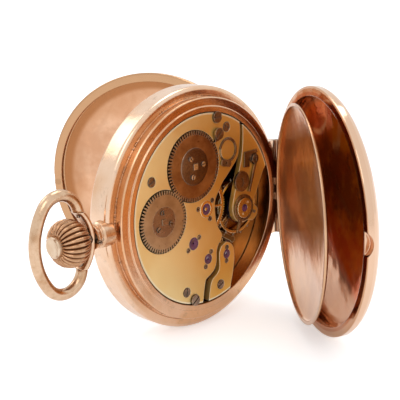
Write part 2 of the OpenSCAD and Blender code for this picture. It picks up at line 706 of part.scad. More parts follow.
module cuvette() {
    base = ring_top + 0.05;
    seg = small_hinge_length / 3;
    color(rose_deep) place() swing(cuvette_axis, cuvette_open) difference() {
        union() {
            difference() {
                translate([0, 0, base]) rotate_extrude($fn = 128) polygon(concat(
                    [[step_r + 0.1, 0], [cuvette_r - 0.1, 0], [cuvette_r, 0.1]],
                    dome(cuvette_r, cuvette_rise, 2.7, 10),
                    reversed(dome(step_r + 0.1, cuvette_rise - cuvette_wall, 2.7, 6))));
                knuckles(cuvette_axis, small_knuckle_r, small_hinge_length, 3, 0, knuckle_gap / 2);
            }
            difference() {
                union() {
                    knuckles(cuvette_axis, small_knuckle_r, small_hinge_length, 3, 1);
                    block(cuvette_r - 0.5, cuvette_axis[0], -seg / 2 + knuckle_gap / 2,
                        seg / 2 - knuckle_gap / 2, cuvette_axis[1] + 0.02,
                        cuvette_axis[1] + small_knuckle_r);
                }
                translate([0, 0, base]) rotate_extrude($fn = 128)
                    polygon(concat(reversed(dome(step_r + 0.1, cuvette_rise - cuvette_wall, 2.7)), [[0, 0]]));
            }
        }
        rod_y(pin_r * 0.5 + run, -small_hinge_length, small_hinge_length, cuvette_axis[0], cuvette_axis[1]);
    }
}

module hinge_pins() {
    color(steel) place() {
        for (a = [back_axis, front_axis])
            rod_y(pin_r, -hinge_length / 2 + 0.1, hinge_length / 2 - 0.1, a[0], a[1]);
        rod_y(pin_r * 0.5, -small_hinge_length / 2 + 0.1, small_hinge_length / 2 - 0.1,
            cuvette_axis[0], cuvette_axis[1]);
    }
}

// ---------- crown and winding ----------

// profile of the crown, from its inner end outwards, as shares of its radius and length
crown_shape = [[0.42, 0], [0.62, 0.05], [0.8, 0.15], [0.94, 0.31], [1, 0.48], [0.97, 0.66],
    [0.86, 0.83], [0.68, 0.95], [0.5, 1]];
crown_bore_depth = 3.2;
button_rise = 0.85;
module crown() {
    prof = smooth([for (s = crown_shape) [crown_r * s[0], crown_length * s[1]]], 2);
    rings = len(prof);
    per_rib = 6;
    around = crown_flutes * per_rib;
    // rounded ribs with sharp grooves between them, cut square to the profile and
    // running out toward the inner end
    function square_to(i) = let (t = prof[min(i + 1, rings - 1)] - prof[max(i - 1, 0)]) [t[1], -t[0]] / norm(t);
    function groove(i, k) = flute_depth * min(1, i / 4) * pow(1 - sin(180 * (k % per_rib) / per_rib), 1.4);
    function ring(i) = [for (k = [0 : around - 1]) let (a = 360 * k / around,
        p = prof[i] - groove(i, k) * square_to(i)) [p[0] * cos(a), p[0] * sin(a), p[1]]];
    points = concat([for (i = [0 : rings - 1]) each ring(i)], [[0, 0, 0], [0, 0, crown_length]]);
    low = rings * around;
    faces = concat(
        [for (i = [0 : rings - 2], k = [0 : around - 1]) let (n = (k + 1) % around)
            [i * around + k, (i + 1) * around + k, (i + 1) * around + n, i * around + n]],
        [for (k = [0 : around - 1]) [low, k, (k + 1) % around]],
        [for (k = [0 : around - 1]) [low + 1, (rings - 1) * around + (k + 1) % around,
            (rings - 1) * around + k]]);
    color(rose) place() translate([crown_x, 0, stem_h]) rotate([0, -90, 0]) difference() {
        polyhedron(points, faces);
        translate([0, 0, -1]) cylinder(r = plunger_r + run, h = crown_bore_depth + 1);
        translate([0, 0, crown_length - 0.9]) cylinder(r = button_r, h = 2);
    }
}

module crown_button() {
    color(rose) place() translate([crown_x, 0, stem_h]) rotate([0, -90, 0]) rotate_extrude()
        polygon([[0, crown_length - 0.88], [button_r - e, crown_length - 0.88],
            [button_r - e, crown_length + button_rise - 0.3],
            [button_r - 0.3, crown_length + button_rise - 0.05],
            [button_r - 0.9, crown_length + button_rise], [0, crown_length + button_rise]]);
}

plunger_in = front_bore_r + 1.9;
module crown_plunger() {
    color(steel) place() difference() {
        rod_x(plunger_r, crown_x - 3.1, -plunger_in);
        rod_x(stem_r + run, crown_x - 5, 0);
    }
}

stem_end = [crown_wheel_pos.x + 1.2, crown_x - 2.4];
module stem() {
    color(steel) place() rod_x(stem_r, stem_end[1], stem_end[0]);
}

// a wheel on the stem, toothed about the x axis
module stem_wheel(n, r, x1, w) {
    translate([x1, 0, stem_h]) rotate([0, 90, 0]) difference() {
        linear_extrude(w) teeth(n, r / (n / 2 + tooth_add), 0);
        translate([0, 0, -1]) cylinder(r = stem_r + e, h = w + 2);
    }
}

module winding_pinion() {
    color(steel) place() stem_wheel(winding_pinion_teeth, pinion_r, pinion_x, winding_pinion_w);
}

module sliding_pinion() {
    color(steel) place() stem_wheel(14, pinion_r - 0.5, pinion_x + winding_pinion_w + 0.05, sliding_pinion_w);
}

module crown_wheel() {
    color([0.62, 0.52, 0.42]) place() difference() {
        translate([crown_wheel_pos.x, 0, 0]) {
            translate([0, 0, wheel_floor + run]) linear_extrude(wheel_face - wheel_floor - run)
                teeth(crown_wheel_teeth, winding_module, crown_wheel_phase, gap_depth);
            tube(contrate_r[0], contrate_r[1], stem_h + pinion_r + 0.05, wheel_floor + run + e);
        }
        drum(core_r + run, -5, 5, crown_wheel_pos);
        translate([crown_wheel_pos.x, 0, stem_h + pinion_r]) for (i = [0 : contrate_teeth - 1])
            rotate((i + 0.5) * 360 / contrate_teeth)
                translate([contrate_r[0] - 0.5, -0.2, -0.5]) cube([2, 0.4, 0.85]);
    }
}

core_screw_angles = [99, 219, 343];
module crown_wheel_core() {
    color([0.62, 0.52, 0.42]) place() difference() {
        union() {
            drum(core_r, wheel_floor + e, wheel_face, crown_wheel_pos);
            translate([crown_wheel_pos.x - 0.6, -0.6, wheel_face - e]) cube([1.2, 1.2, 0.2]);
        }
        for (a = core_screw_angles) drum(0.27, 0, 5, at(crown_wheel_pos, 2.1, a));
    }
}

module crown_core_screws() {
    color(steel) place() for (a = core_screw_angles)
        screw(at(crown_wheel_pos, 2.1, a), 0.55, 0.25, wheel_face + 0.26, 0.25, 1.7, a);
}

// ratchet wheel with its domed cap, on the square of the barrel arbor
arbor_square = 1.3;
module arbor_hole(grow = 0.02) {
    s = arbor_square + 2 * grow;
    translate([barrel_pos.x - s / 2, barrel_pos.y - s / 2, wheel_floor - 1]) cube([s, s, wheel_face - wheel_floor + 2]);
}

cap_r = 4.1;
cap_top = wheel_face + 0.35;
cap_angles = [126, 6, 246];
module ratchet_wheel() {
    color([0.55, 0.33, 0.2]) place() difference() {
        translate([barrel_pos.x, barrel_pos.y, wheel_floor + run])
            linear_extrude(wheel_face - wheel_floor - run) teeth(ratchet_teeth, winding_module, 0, gap_depth);
        arbor_hole();
        for (a = cap_angles) drum(0.27, 0, 5, at(barrel_pos, 2.3, a));
    }
}

module ratchet_cap() {
    color([0.33, 0.22, 0.19]) place() difference() {
        translate([barrel_pos.x, barrel_pos.y, wheel_face + e]) rotate_extrude()
            polygon(concat([[0, 0]], [[cap_r, 0]], dome(cap_r, cap_top - wheel_face - e, 2.2, 12, 6)));
        arbor_hole();
        for (a = cap_angles) drum(0.27, 0, 5, at(barrel_pos, 2.3, a));
    }
}

module ratchet_cap_screws() {
    color([0.7, 0.6, 0.55]) place() for (a = cap_angles)
        screw(at(barrel_pos, 2.3, a), 0.55, 0.25, cap_top + 0.24, 0.23, 0.9, a);
}

arbor_collar = 0.95;
module barrel_arbor() {
    color(steel) place() {
        difference() {
            union() {
                drum(arbor_collar, barrel_h[0] + 0.25, wheel_floor, barrel_pos);
                translate([barrel_pos.x - arbor_square / 2, barrel_pos.y - arbor_square / 2,
                    wheel_floor - e]) cube([arbor_square, arbor_square, cap_top + 0.15 - wheel_floor]);
                drum(0.6, plate_bot + 0.3, barrel_h[0] + 0.3, barrel_pos);
            }
        }
    }
}

// barrel: toothed drum with a lid, turning on its arbor
module barrel() {
    r_tip = tip_r(barrel_teeth, barrel_module);
    r_drum = barrel_module * (barrel_teeth / 2 - 1.15) - 0.15;
    color(gilt) place() difference() {
        union() {
            translate([barrel_pos.x, barrel_pos.y, barrel_h[0]]) linear_extrude(0.4)
                teeth(barrel_teeth, barrel_module, 0);
            drum(r_drum, barrel_h[0] + 0.3, barrel_h[1], barrel_pos);
        }
        drum(r_drum - 0.45, barrel_h[0] + 0.25, barrel_h[1] - 0.25, barrel_pos);
        drum(0.6 + run, -5, barrel_h[0] + 0.3, barrel_pos);
        drum(arbor_collar + run, barrel_h[1] - 0.4, 5, barrel_pos);
    }
}

module mainspring() {
    r_drum = barrel_module * (barrel_teeth / 2 - 1.15) - 0.15;
    color(steel) place() spiral(arbor_collar + 0.35, r_drum - 0.6, 6, 0.3, barrel_h[0] + 0.35,
        barrel_h[1] - barrel_h[0] - 0.7, barrel_pos, 40);
}

// ---------- plates and bridges ----------

module disc2d(r) { circle(r = r, $fn = 128); }

module train_outline() {
    intersection() {
        disc2d(movement_r);
        polygon(concat(smooth(train_edge), [[-2.4, -22], [-25, -22], [-25, 25], [11.3, 25]]));
    }
}

module escape_outline() {
    side = smooth([for (p = channel_side) p + [bridge_gap * 1.1, -bridge_gap * 0.35]], 3);
    intersection() {
        disc2d(movement_r);
        polygon(concat(side, smooth(escape_edge)));
    }
}

module cock_outline() {
    intersection() {
        disc2d(movement_r);
        polygon(concat(smooth(cock_edge), [[25, 8], [25, 22]]));
    }
}

// wall of a bridge's foot along the movement's edge
module foot(r_in, h1, h2) {
    translate([0, 0, h1]) linear_extrude(h2 - h1) intersection() {
        children();
        difference() {
            disc2d(movement_r);
            disc2d(r_in);
        }
    }
}

module screw_hole(p, h = bridge_top) {
    drum(screw_head_r + 0.12, h - 0.25, h + 2, p);
    drum(screw_r + 0.02, -5, h, p);
}

module stem_passage() {
    rod_x(stem_r + run, -movement_r - 2, crown_wheel_pos.x + 1.25);
}

module pinion_pocket() {
    rod_x(pinion_r + 0.15, pinion_x - 0.3, pinion_x + winding_pinion_w + sliding_pinion_w + 0.35);
}

module jewel_holes(grow) {
    for (j = jewel_data) {
        drum(j[1] + grow, -5, 5, j[0]);
        for (a = j[3]) {
            drum(jewel_screw_r + 0.08, bridge_top - 0.15, 5, at(j[0], j[4], a));
            drum(0.22, bridge_top - 0.9, 5, at(j[0], j[4], a));
        }
    }
}

module main_plate() {
    color(gilt) place() difference() {
        union() {
            drum(movement_r, plate_bot, plate_top, $fn = 128);
            drum(flange_r, plate_bot, shoulder - 0.02, $fn = 128);
        }
        stem_passage();
        block(pinion_x - 0.3, pinion_x + winding_pinion_w + sliding_pinion_w + 0.35,
            -pinion_r - 0.2, pinion_r + 0.2, -5, 5);
        for (p = screw_spots) drum(screw_r + 0.02, plate_bot + 0.3, 5, p);
        for (a = case_screw_angles) drum(screw_r + 0.02, plate_bot + 0.3, 5, at([0, 0], case_screw_d, a));
        // jewels of the train, the pallets and the balance
        for (j = jewel_data) drum(j[1] * 0.6 + e, plate_bot - 1, 5, j[0]);
        for (p = [pallet_pos, balance_pos]) drum(lower_jewel_r + e, plate_bot - 1, 5, p);
        drum(0.6 + run, plate_bot + 0.25, 5, barrel_pos);
        // feet of the dial and the posts of the motion work
        for (a = dial_foot_angles) drum(dial_foot_r + 0.02, plate_bot - 1, plate_top - 0.3,
            at([0, 0], dial_foot_d, a));
        drum(minute_post_r + 0.02, plate_bot - 1, plate_bot + 0.7, minute_wheel_pos);
        for (p = setting_posts) drum(0.4, plate_bot - 1, plate_bot + 0.7, p);
        for (p = pallet_feet) drum(0.3, plate_bot + 0.4, 5, p);
        drum(stud_hole_r, plate_top - 0.5, 5, stud_pos);
    }
}

lower_jewel_r = 0.7;
stud_hole_r = 0.2;

module train_bridge() {
    color(gilt) place() difference() {
        union() {
            translate([0, 0, deck_bot]) linear_extrude(bridge_thick) train_outline();
            difference() {
                foot(movement_r - 2, plate_top, deck_bot + e) train_outline();
                drum(tip_r(barrel_teeth, barrel_module) + 0.25, -5, 5, barrel_pos);
            }
            // floor under the crown wheel
            difference() {
                drum(contrate_r[1] + 1.2, stem_h + pinion_r - 0.6, deck_bot + e, crown_wheel_pos);
                drum(tip_r(barrel_teeth, barrel_module) + 0.25, -5, barrel_h[1] + 0.2, barrel_pos);
                drum(tip_r(centre_teeth, centre_module) + 0.25, -5, 5, centre_pos);
            }
        }
        // sinks of the winding wheels
        drum(tip_r(ratchet_teeth, winding_module) + 0.15, wheel_floor, 5, barrel_pos);
        drum(arbor_collar + run, -5, 5, barrel_pos);
        difference() {
            drum(tip_r(crown_wheel_teeth, winding_module) + 0.15, wheel_floor, 5, crown_wheel_pos);
        }
        tube(contrate_r[0] - 0.2, contrate_r[1] + 0.2, stem_h + pinion_r - 0.06, 5, crown_wheel_pos);
        for (a = core_screw_angles) drum(0.27, -0.2, 5, at(crown_wheel_pos, 2.1, a));
        stem_passage();
        pinion_pocket();
        // the window over the centre wheel and the channels are cut by the outline
        for (i = [0 : 2]) screw_hole(screw_spots[i]);
        for (a = case_screw_angles) {
            drum(case_screw_r + 0.1, bridge_top - 0.2, 5, at([0, 0], case_screw_d, a));
            drum(screw_r + 0.02, -5, 5, at([0, 0], case_screw_d, a));
        }
        intersection() {
            jewel_holes(e);
            drum(movement_r, -1, 5);
        }
        drum(setting_r + e, bridge_top - 0.4, 5, centre_pos);
        // click, its screw and the groove of its round spring
        drum(screw_r + 0.02, -5, 5, click_pos);
        tube(spring_r[0] - 0.08, spring_r[1] + 0.08, bridge_top - 0.4, 5, spring_pos);
    }
}

module escape_cock() {
    color(gilt) place() difference() {
        union() {
            translate([0, 0, deck_bot]) linear_extrude(bridge_thick) escape_outline();
            difference() {
                translate([0, 0, plate_top]) linear_extrude(train_space + e) intersection() {
                    escape_outline();
                    translate([-10, -30]) square([30, 30 + escape_pos.y - escape_r - 0.45]);
                }
                drum(tip_r(fourth_teeth, fourth_module) + 0.2, -5, deck_bot, fourth_pos);
            }
        }
        screw_hole(screw_spots[3]);
        jewel_holes(e);
    }
}

module balance_cock() {
    color(gilt) place() difference() {
        union() {
            translate([0, 0, deck_bot]) linear_extrude(bridge_thick) cock_outline();
            difference() {
                foot(movement_r - 3.6, plate_top, deck_bot + e) cock_outline();
                drum(balance_r + 0.9, -5, 5, balance_pos);
            }
        }
        screw_hole(screw_spots[4], bridge_top);
        drum(lower_jewel_r + e, -5, 5, balance_pos);
        drum(screw_r + 0.02, deck_bot + 0.4, 5, cam_pos);
        drum(0.35 + 0.02, -5, 5, stud_pos);
    }
}

pallet_feet = [for (s = [-1, 1]) at(pallet_pos, s * 3.2, lever_angle + 90)];
module pallet_bridge() {
    h = escape_h + 0.55;
    color(gilt) place() difference() {
        union() {
            for (p = pallet_feet) drum(0.75, plate_top, h, p);
            translate([pallet_pos.x, pallet_pos.y, h - 0.25]) rotate(lever_angle + 90)
                translate([-3.2, -0.55, 0]) cube([6.4, 1.1, 0.25]);
        }
        for (p = pallet_feet) drum(0.3, -5, h - 0.3, p);
        drum(0.12 + run, -5, 5, pallet_pos);
    }
}

module bridge_screws() {
    color(steel) place() {
        for (i = [0 : 3]) screw(screw_spots[i], screw_head_r, screw_r, bridge_top + 0.1, 0.33,
            bridge_top - plate_bot - 0.35, 25 + 60 * i);
        screw(screw_spots[4], screw_head_r, screw_r, bridge_top + 0.7, 0.4, bridge_top - plate_bot - 0.35, 100);
        screw(click_pos, click_head_r, screw_r, bridge_top + 0.85, 0.35, 1.6, 40);
        for (i = [0, 1]) screw(at([0, 0], case_screw_d, case_screw_angles[i]), case_screw_r, screw_r,
            step_top + 0.3, 0.28, 3, i * 35);
        for (p = pallet_feet) drum(0.28, plate_bot + 0.6, escape_h + 0.1, p);
    }
}

// ---------- jewels ----------

module jewel(p, r, hole, h1, h2) {
    difference() {
        drum(r, h1, h2, p);
        drum(hole + run, h1 - 1, h2 + 1, p);
        translate([p.x, p.y, h2 - 0.12]) cylinder(r1 = hole + run, r2 = r * 0.62, h = 0.13);
    }
}

module jewels() {
    color(ruby) place() {
        for (j = jewel_data) {
            jewel(j[0], j[1], j[2], bridge_top - 0.55, bridge_top + 0.02);
            jewel(j[0], j[1] * 0.6, j[2], plate_bot + 0.2, plate_top - 0.3);
        }
        jewel(pallet_pos, lower_jewel_r, 0.12, plate_bot + 0.4, plate_top - 0.3);
        jewel(balance_pos, lower_jewel_r, 0.1, plate_bot + 0.4, plate_top - 0.3);
        jewel(balance_pos, lower_jewel_r, 0.1, deck_bot + 0.3, bridge_top - 0.05);
        jewel(balance_pos, 0.85, 0.05, bridge_top + 0.25, bridge_top + 0.62);
    }
}

module jewel_setting() {
    color([0.86, 0.66, 0.36]) place() difference() {
        drum(setting_r, bridge_top - 0.39, bridge_top + 0.05, centre_pos);
        drum(jewel_data[0][1] + e, -5, 5, centre_pos);
        for (a = jewel_data[0][3]) drum(jewel_screw_r + 0.08, -5, 5, at(centre_pos, jewel_data[0][4], a));
    }
}

module jewel_screws() {
    color(steel) place() for (j = jewel_data, a = j[3])
        screw(at(j[0], j[4], a), jewel_screw_r, 0.2, bridge_top + 0.1, 0.23, 0.85, a);
}

// ---------- going train ----------

module centre_wheel() {
    color(gilt) place() difference() {
        union() {
            spoked(centre_teeth, centre_module, 0, 0.8, 1.3, 5, 0.45, centre_h, wheel_thick, centre_pos);
            translate([0, 0, barrel_h[0] - 0.1]) linear_extrude(0.6)
                teeth(centre_pinion_teeth, barrel_module, centre_pinion_phase);
            drum(0.6, plate_top + 0.1, centre_h + 0.5);
            drum(0.38, cannon_h[0] - 0.2, bridge_top - 0.1);
        }
    }
}

module third_wheel() {
    color(gilt) place() {
        spoked(third_teeth, third_module, 0, 0.6, 0.9, 5, 0.35, third_h, wheel_thick * 0.85, third_pos);
        arbor(third_pinion_teeth, centre_module, third_pinion_phase, centre_h - 0.1, 0.55, 0.35, 0.2,
            plate_top + 0.1, deck_bot - 0.05, third_pos);
    }
}

module fourth_wheel() {
    color(gilt) place() {
        spoked(fourth_teeth, fourth_module, 0, 0.6, 0.9, 5, 0.35, fourth_h, wheel_thick * 0.85, fourth_pos);
        arbor(fourth_pinion_teeth, third_module, fourth_pinion_phase, third_h - 0.1, 0.5, 0.35, 0.2,
            plate_top + 0.1, deck_bot - 0.05, fourth_pos);
        // long pivot that carries the seconds hand
        drum(0.2, seconds_h - 0.1, plate_top + 0.2, fourth_pos);
    }
}

module escape_wheel() {
    p = 360 / escape_teeth;
    color(gilt) place() {
        translate([escape_pos.x, escape_pos.y, escape_h]) {
            difference() {
                linear_extrude(0.2) polygon([for (i = [0 : escape_teeth - 1],
                    s = [[0.74, -0.2], [0.97, 0.1], [1, 0.12], [0.99, 0.28], [0.95, 0.27], [0.76, 0.06]])
                    let (a = (i + s[1]) * p) escape_r * s[0] * [cos(a), sin(a)]]);
                translate([0, 0, -1]) cylinder(r = escape_r * 0.62, h = 3);
            }
            for (i = [0 : 3]) rotate(i * 90 + 20) translate([0.3, -0.15, 0])
                cube([escape_r * 0.66 - 0.3, 0.3, 0.2]);
            cylinder(r = 0.6, h = 0.2);
        }
        arbor(escape_pinion_teeth, fourth_module, escape_pinion_phase, fourth_h - 0.1, 0.45, 0.28, 0.16,
            plate_top + 0.1, deck_bot - 0.05, escape_pos);
    }
}

// lever: fork towards the balance, two arms that hold the pallet stones
pallet_stone_d = escape_r + 0.08;
stone_angles = [-33, 33];
fork_len = norm([balance_pos.x - pallet_pos.x, balance_pos.y - pallet_pos.y]) - 1.45;
module stone(a, grow) {
    translate([escape_pos.x, escape_pos.y, escape_h - 0.05 - grow * 4]) rotate(lever_angle + a)
        translate([pallet_stone_d, -0.2 - grow, 0]) cube([0.85, 0.4 + 2 * grow, 0.3 + grow * 8]);
}

module pallet_fork() {
    color(steel) place() {
        difference() {
            union() {
                translate([pallet_pos.x, pallet_pos.y, escape_h]) rotate(lever_angle)
                    linear_extrude(0.2) difference() {
                        polygon([[-0.5, -0.4], [fork_len - 0.9, -0.18], [fork_len - 0.8, -0.55],
                            [fork_len, -0.62], [fork_len, 0.62], [fork_len - 0.8, 0.55],
                            [fork_len - 0.9, 0.18], [-0.5, 0.4]]);
                        translate([fork_len - 0.55, -0.22]) square([1, 0.44]);
                    }
                translate([0, 0, escape_h]) linear_extrude(0.2) for (a = stone_angles) {
                    s = at(escape_pos, pallet_stone_d + 0.45, lever_angle + a);
                    d = dir(pallet_pos, s);
                    polygon([at(pallet_pos, 0.4, d + 90), at(pallet_pos, 0.4, d - 90),
                        at(s, 0.34, d - 70), at(s, 0.42, d - 25), at(s, 0.42, d + 25), at(s, 0.34, d + 70)]);
                }
            }
            for (a = stone_angles) stone(a, 0.01);
        }
        drum(0.3, plate_top + 0.1, escape_h + 0.3 - 0.15, pallet_pos);
        drum(0.12, plate_top - 0.4, escape_h + 0.42, pallet_pos);
    }
}

module pallet_stones() {
    color(ruby) place() for (a = stone_angles) stone(a, 0);
}

// ---------- balance ----------

module balance_wheel() {
    color(gilt) place() difference() {
        union() {
            tube(balance_r - balance_rim, balance_r, balance_h, balance_h + balance_depth, balance_pos);
            translate([balance_pos.x, balance_pos.y, balance_h + 0.1]) {
                rotate(35) translate([-balance_r + 0.2, -0.4, 0]) cube([2 * balance_r - 0.4, 0.8, 0.3]);
                cylinder(r = 0.9, h = 0.4);
            }
        }
        drum(0.4 + e, -5, 5, balance_pos);
        timing(0.02, 1);
    }
}

module timing(grow, part) {
    for (i = [0 : timing_screws - 1])
        translate([balance_pos.x, balance_pos.y, balance_h + balance_depth / 2])
            rotate(i * 360 / timing_screws + 12) rotate([0, 90, 0]) {
                translate([0, 0, balance_r - balance_rim + 0.1]) cylinder(r = 0.18 + grow, h = 0.6, $fn = 24);
                if (part == 2) translate([0, 0, balance_r + 0.03]) cylinder(r = 0.33, h = 0.5, $fn = 24);
            }
}

module balance_screws() {
    color([0.5, 0.4, 0.34]) place() timing(0, 2);
}

roller_pin_d = 0.95;
module balance_staff() {
    color(steel) place() {
        drum(0.4, plate_top + 0.1, deck_bot - 0.05, balance_pos);
        drum(0.1, plate_top - 0.6, bridge_top - 0.15, balance_pos);
        drum(1.25, escape_h + 0.32, escape_h + 0.5, balance_pos);
        drum(0.1, escape_h - 0.05, escape_h + 0.35, at(balance_pos, roller_pin_d, lever_angle + 180));
        tube(0.4 - e, 0.85, hairspring_h, hairspring_h + 0.35, balance_pos);
    }
}

module hairspring() {
    color([0.3, 0.32, 0.42]) place()
        spiral(1.0, hairspring_r, hairspring_coils, 0.09, hairspring_h, 0.25, balance_pos, -24);
}

module hairspring_stud() {
    color(steel) place() drum(0.35, hairspring_h - 0.05, bridge_top + 0.3, stud_pos);
}

regulator_r = [endpiece_r + run, endpiece_r + 0.75];
module regulator() {
    color(steel) place() {
        tube(regulator_r[0], regulator_r[1], bridge_top + 0.02, bridge_top + 0.4, balance_pos);
        translate([balance_pos.x, balance_pos.y, bridge_top + 0.02]) rotate(-114) linear_extrude(0.38)
            polygon(concat([[regulator_r[0] + 0.2, -0.8], [regulator_r[1] + 0.3, -0.42], [5.3, -0.25]],
                [for (a = [-60 : 30 : 60]) [5.55 + 0.38 * cos(a), 0.38 * sin(a)]],
                [[5.3, 0.25], [regulator_r[1] + 0.3, 0.42], [regulator_r[0] + 0.2, 0.8]]));
    }
}

module index_cam() {
    color(steel) place() difference() {
        union() {
            drum(cam_r, bridge_top + 0.02, bridge_top + 0.55, cam_pos);
            drum(screw_r, deck_bot + 0.45, bridge_top + 0.1, cam_pos);
        }
        // curved slot
        translate([cam_pos.x - 0.9, cam_pos.y - 0.2, bridge_top + 0.3]) rotate(-60)
            rotate_extrude(angle = 120) translate([1, 0]) square([0.32, 1]);
    }
}

module index_spring() {
    color(steel) place() difference() {
        union() {
            translate([0, 0, bridge_top + e]) linear_extrude(0.28) {
                translate(screw_spots[4]) {
                    polygon([[-3.5, -1.5], [-1.7, -1.7], [-1.5, 0.3], [1.2, 1.3], [1, 2], [-3.2, 1.9]]);
                    circle(r = screw_head_r + 0.25);
                }
            }
            translate([0, 0, bridge_top + e]) linear_extrude(0.5)
                polygon([[16.5, 7.8], [13.9, 1.2], [13.5, 1.35], [15.8, 8]]);
        }
        drum(screw_r + 0.02, -5, 5, screw_spots[4]);
        drum(screw_head_r + 0.02, bridge_top + 0.29, 5, screw_spots[4]);
    }
}

module endpiece() {
    color([0.84, 0.6, 0.3]) place() difference() {
        drum(endpiece_r, bridge_top + e, bridge_top + 0.6, balance_pos);
        drum(0.85 + e, -5, 5, balance_pos);
        for (a = [52, 240]) drum(0.24, bridge_top + 0.3, 5, at(balance_pos, 1.5, a));
    }
}

// ---------- click ----------

module click() {
    beak = at(barrel_pos, tip_r(ratchet_teeth, winding_module) + 0.06, 33);
    color(steel) place() difference() {
        translate([0, 0, bridge_top + 0.02]) linear_extrude(0.45) {
            translate(click_pos) circle(r = 1.15);
            polygon([click_pos + [-1.1, -0.3], beak, beak + [0.25, 0.05], beak + [1.5, 0.4],
                click_pos + [1.1, -0.3]]);
        }
        drum(screw_r + run, -5, 5, click_pos);
        drum(tip_r(ratchet_teeth, winding_module) + 0.04, -5, 5, barrel_pos);
    }
}

module click_spring() {
    color(steel) place() {
        translate([spring_pos.x, spring_pos.y, bridge_top - 0.39]) rotate(-125)
            rotate_extrude(angle = 290) translate([spring_r[0], 0])
                square([spring_r[1] - spring_r[0], 0.6]);
        // foot that the spring is held by
        translate([spring_foot.x, spring_foot.y, bridge_top + e]) rotate(-15) linear_extrude(0.42)
            difference() {
                union() {
                    square([1.7, 1.5], center = true);
                    for (s = [-1, 1]) translate([s * 0.85, 0]) circle(r = 0.75, $fn = 32);
                }
                circle(r = 0.3, $fn = 32);
            }
    }
}

// ---------- motion work, dial and hands ----------

cannon_h = [dial_top - 1.05, plate_bot + 0.6];
seconds_h = dial_top - 0.3;
hour_h = dial_top - 0.6;
minute_h = dial_top - 1.0;
minute_wheel_pos = [3.3, 3.3];
minute_post_r = 0.5;
setting_posts = [[-11.5, 4.6], [-12.5, -4.4]];
dial_foot_angles = [30, 200, 300];
dial_foot_d = 18.2;
dial_foot_r = 0.45;
motion_module = norm(minute_wheel_pos) * 2 / 48;
minute_pinion_module = norm(minute_wheel_pos) * 2 / 50;
motion_phase = phase_of(minute_wheel_pos, 36, 0, centre_pos, 12);
hour_phase = phase_of(minute_wheel_pos, 10, 0, centre_pos, 40);

module cannon_pinion() {
    color(steel) place() difference() {
        union() {
            drum(0.75, cannon_h[0], plate_bot + 0.1);
            translate([0, 0, plate_bot - 0.55]) linear_extrude(0.4) teeth(12, motion_module, motion_phase);
        }
        drum(0.38 + e, -20, 5);
    }
}

module hour_wheel() {
    color(gilt) place() difference() {
        union() {
            translate([0, 0, plate_bot - 0.98]) linear_extrude(0.3) teeth(40, minute_pinion_module, hour_phase);
            drum(1.15, hour_h - 0.05, plate_bot - 0.9);
        }
        drum(0.75 + run, -20, 5);
    }
}

module minute_wheel() {
    color(gilt) place() {
        difference() {
            union() {
                translate([minute_wheel_pos.x, minute_wheel_pos.y, plate_bot - 0.5]) linear_extrude(0.3)
                    teeth(36, motion_module, 0);
                translate([minute_wheel_pos.x, minute_wheel_pos.y, plate_bot - 1]) linear_extrude(0.55)
                    teeth(10, minute_pinion_module, 0);
            }
        }
        drum(minute_post_r, plate_bot - 0.3, plate_bot + 0.65, minute_wheel_pos);
    }
}

module dial() {
    color([0.96, 0.95, 0.91]) place() difference() {
        union() {
            drum(dial_r, dial_top, dial_back, $fn = 128);
            for (a = dial_foot_angles) drum(dial_foot_r, dial_back - e, plate_top - 0.4, at([0, 0], dial_foot_d, a));
        }
        drum(1.5, -20, 5);
        drum(0.5, -20, 5, fourth_pos);
        drum(seconds_length + 0.9, dial_top - 1, dial_top + 0.12, fourth_pos);
    }
}

// a leaf-shaped hand with a round boss
module hand(len, boss, w, thick, h, p, a, hole) {
    color([0.16, 0.18, 0.34]) place() difference() {
        translate([p.x, p.y, h]) rotate(a) {
            cylinder(r = boss, h = thick);
            linear_extrude(thick) polygon([[0, -w * 0.35], [len * 0.35, -w * 0.28], [len * 0.62, -w * 0.5],
                [len * 0.8, -w * 0.25], [len, 0], [len * 0.8, w * 0.25], [len * 0.62, w * 0.5],
                [len * 0.35, w * 0.28], [0, w * 0.35], [-len * 0.12, w * 0.3], [-len * 0.12, -w * 0.3]]);
        }
        drum(hole, -20, 5, p);
    }
}

module minute_hand() { hand(minute_length, 1.3, 1.5, 0.18, minute_h, centre_pos, 40, 0.75 + e); }
module hour_hand() { hand(hour_length, 1.75, 2, 0.2, hour_h, centre_pos, 160, 1.15 + e); }
module seconds_hand() { hand(seconds_length, 0.55, 0.5, 0.14, seconds_h, fourth_pos, 250, 0.2 + e); }

// ---------- the watch ----------

case_middle();
pendant();
yoke();
pendant_screws();
hinge_pins();
case_springs();
bezel();
crystal();
front_cover();
back_cover();
cuvette();
bow();
crown_plunger();
crown();
crown_button();
stem();
winding_pinion();
sliding_pinion();
crown_wheel();
crown_wheel_core();
crown_core_screws();
ratchet_wheel();
ratchet_cap();
ratchet_cap_screws();
barrel_arbor();
click();
click_spring();
barrel();
mainspring();
main_plate();
train_bridge();
escape_cock();
balance_cock();
pallet_bridge();
bridge_screws();
jewel_setting();
jewels();
jewel_screws();
centre_wheel();
cannon_pinion();
minute_hand();
third_wheel();
fourth_wheel();
seconds_hand();
escape_wheel();
pallet_fork();
pallet_stones();
balance_wheel();
balance_screws();
balance_staff();
hairspring();
hairspring_stud();
regulator();
index_cam();
index_spring();
endpiece();
dial();
hour_wheel();
hour_hand();
minute_wheel();
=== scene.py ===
"""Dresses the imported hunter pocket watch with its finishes, prints its dial and sets up the studio.

Lengths in the classes are in millimetres, and are turned into metres where a mesh is made.
Places come from the frame: its joints give every arbor and hinge.
"""

from __future__ import annotations

import json  # noqa: E402
import logging  # noqa: E402
import math  # noqa: E402
from dataclasses import dataclass  # noqa: E402
from enum import Enum  # noqa: E402
from typing import Any, Union  # noqa: E402

import bmesh  # noqa: E402
import bpy  # noqa: E402
from mathutils import Matrix, Vector  # noqa: E402


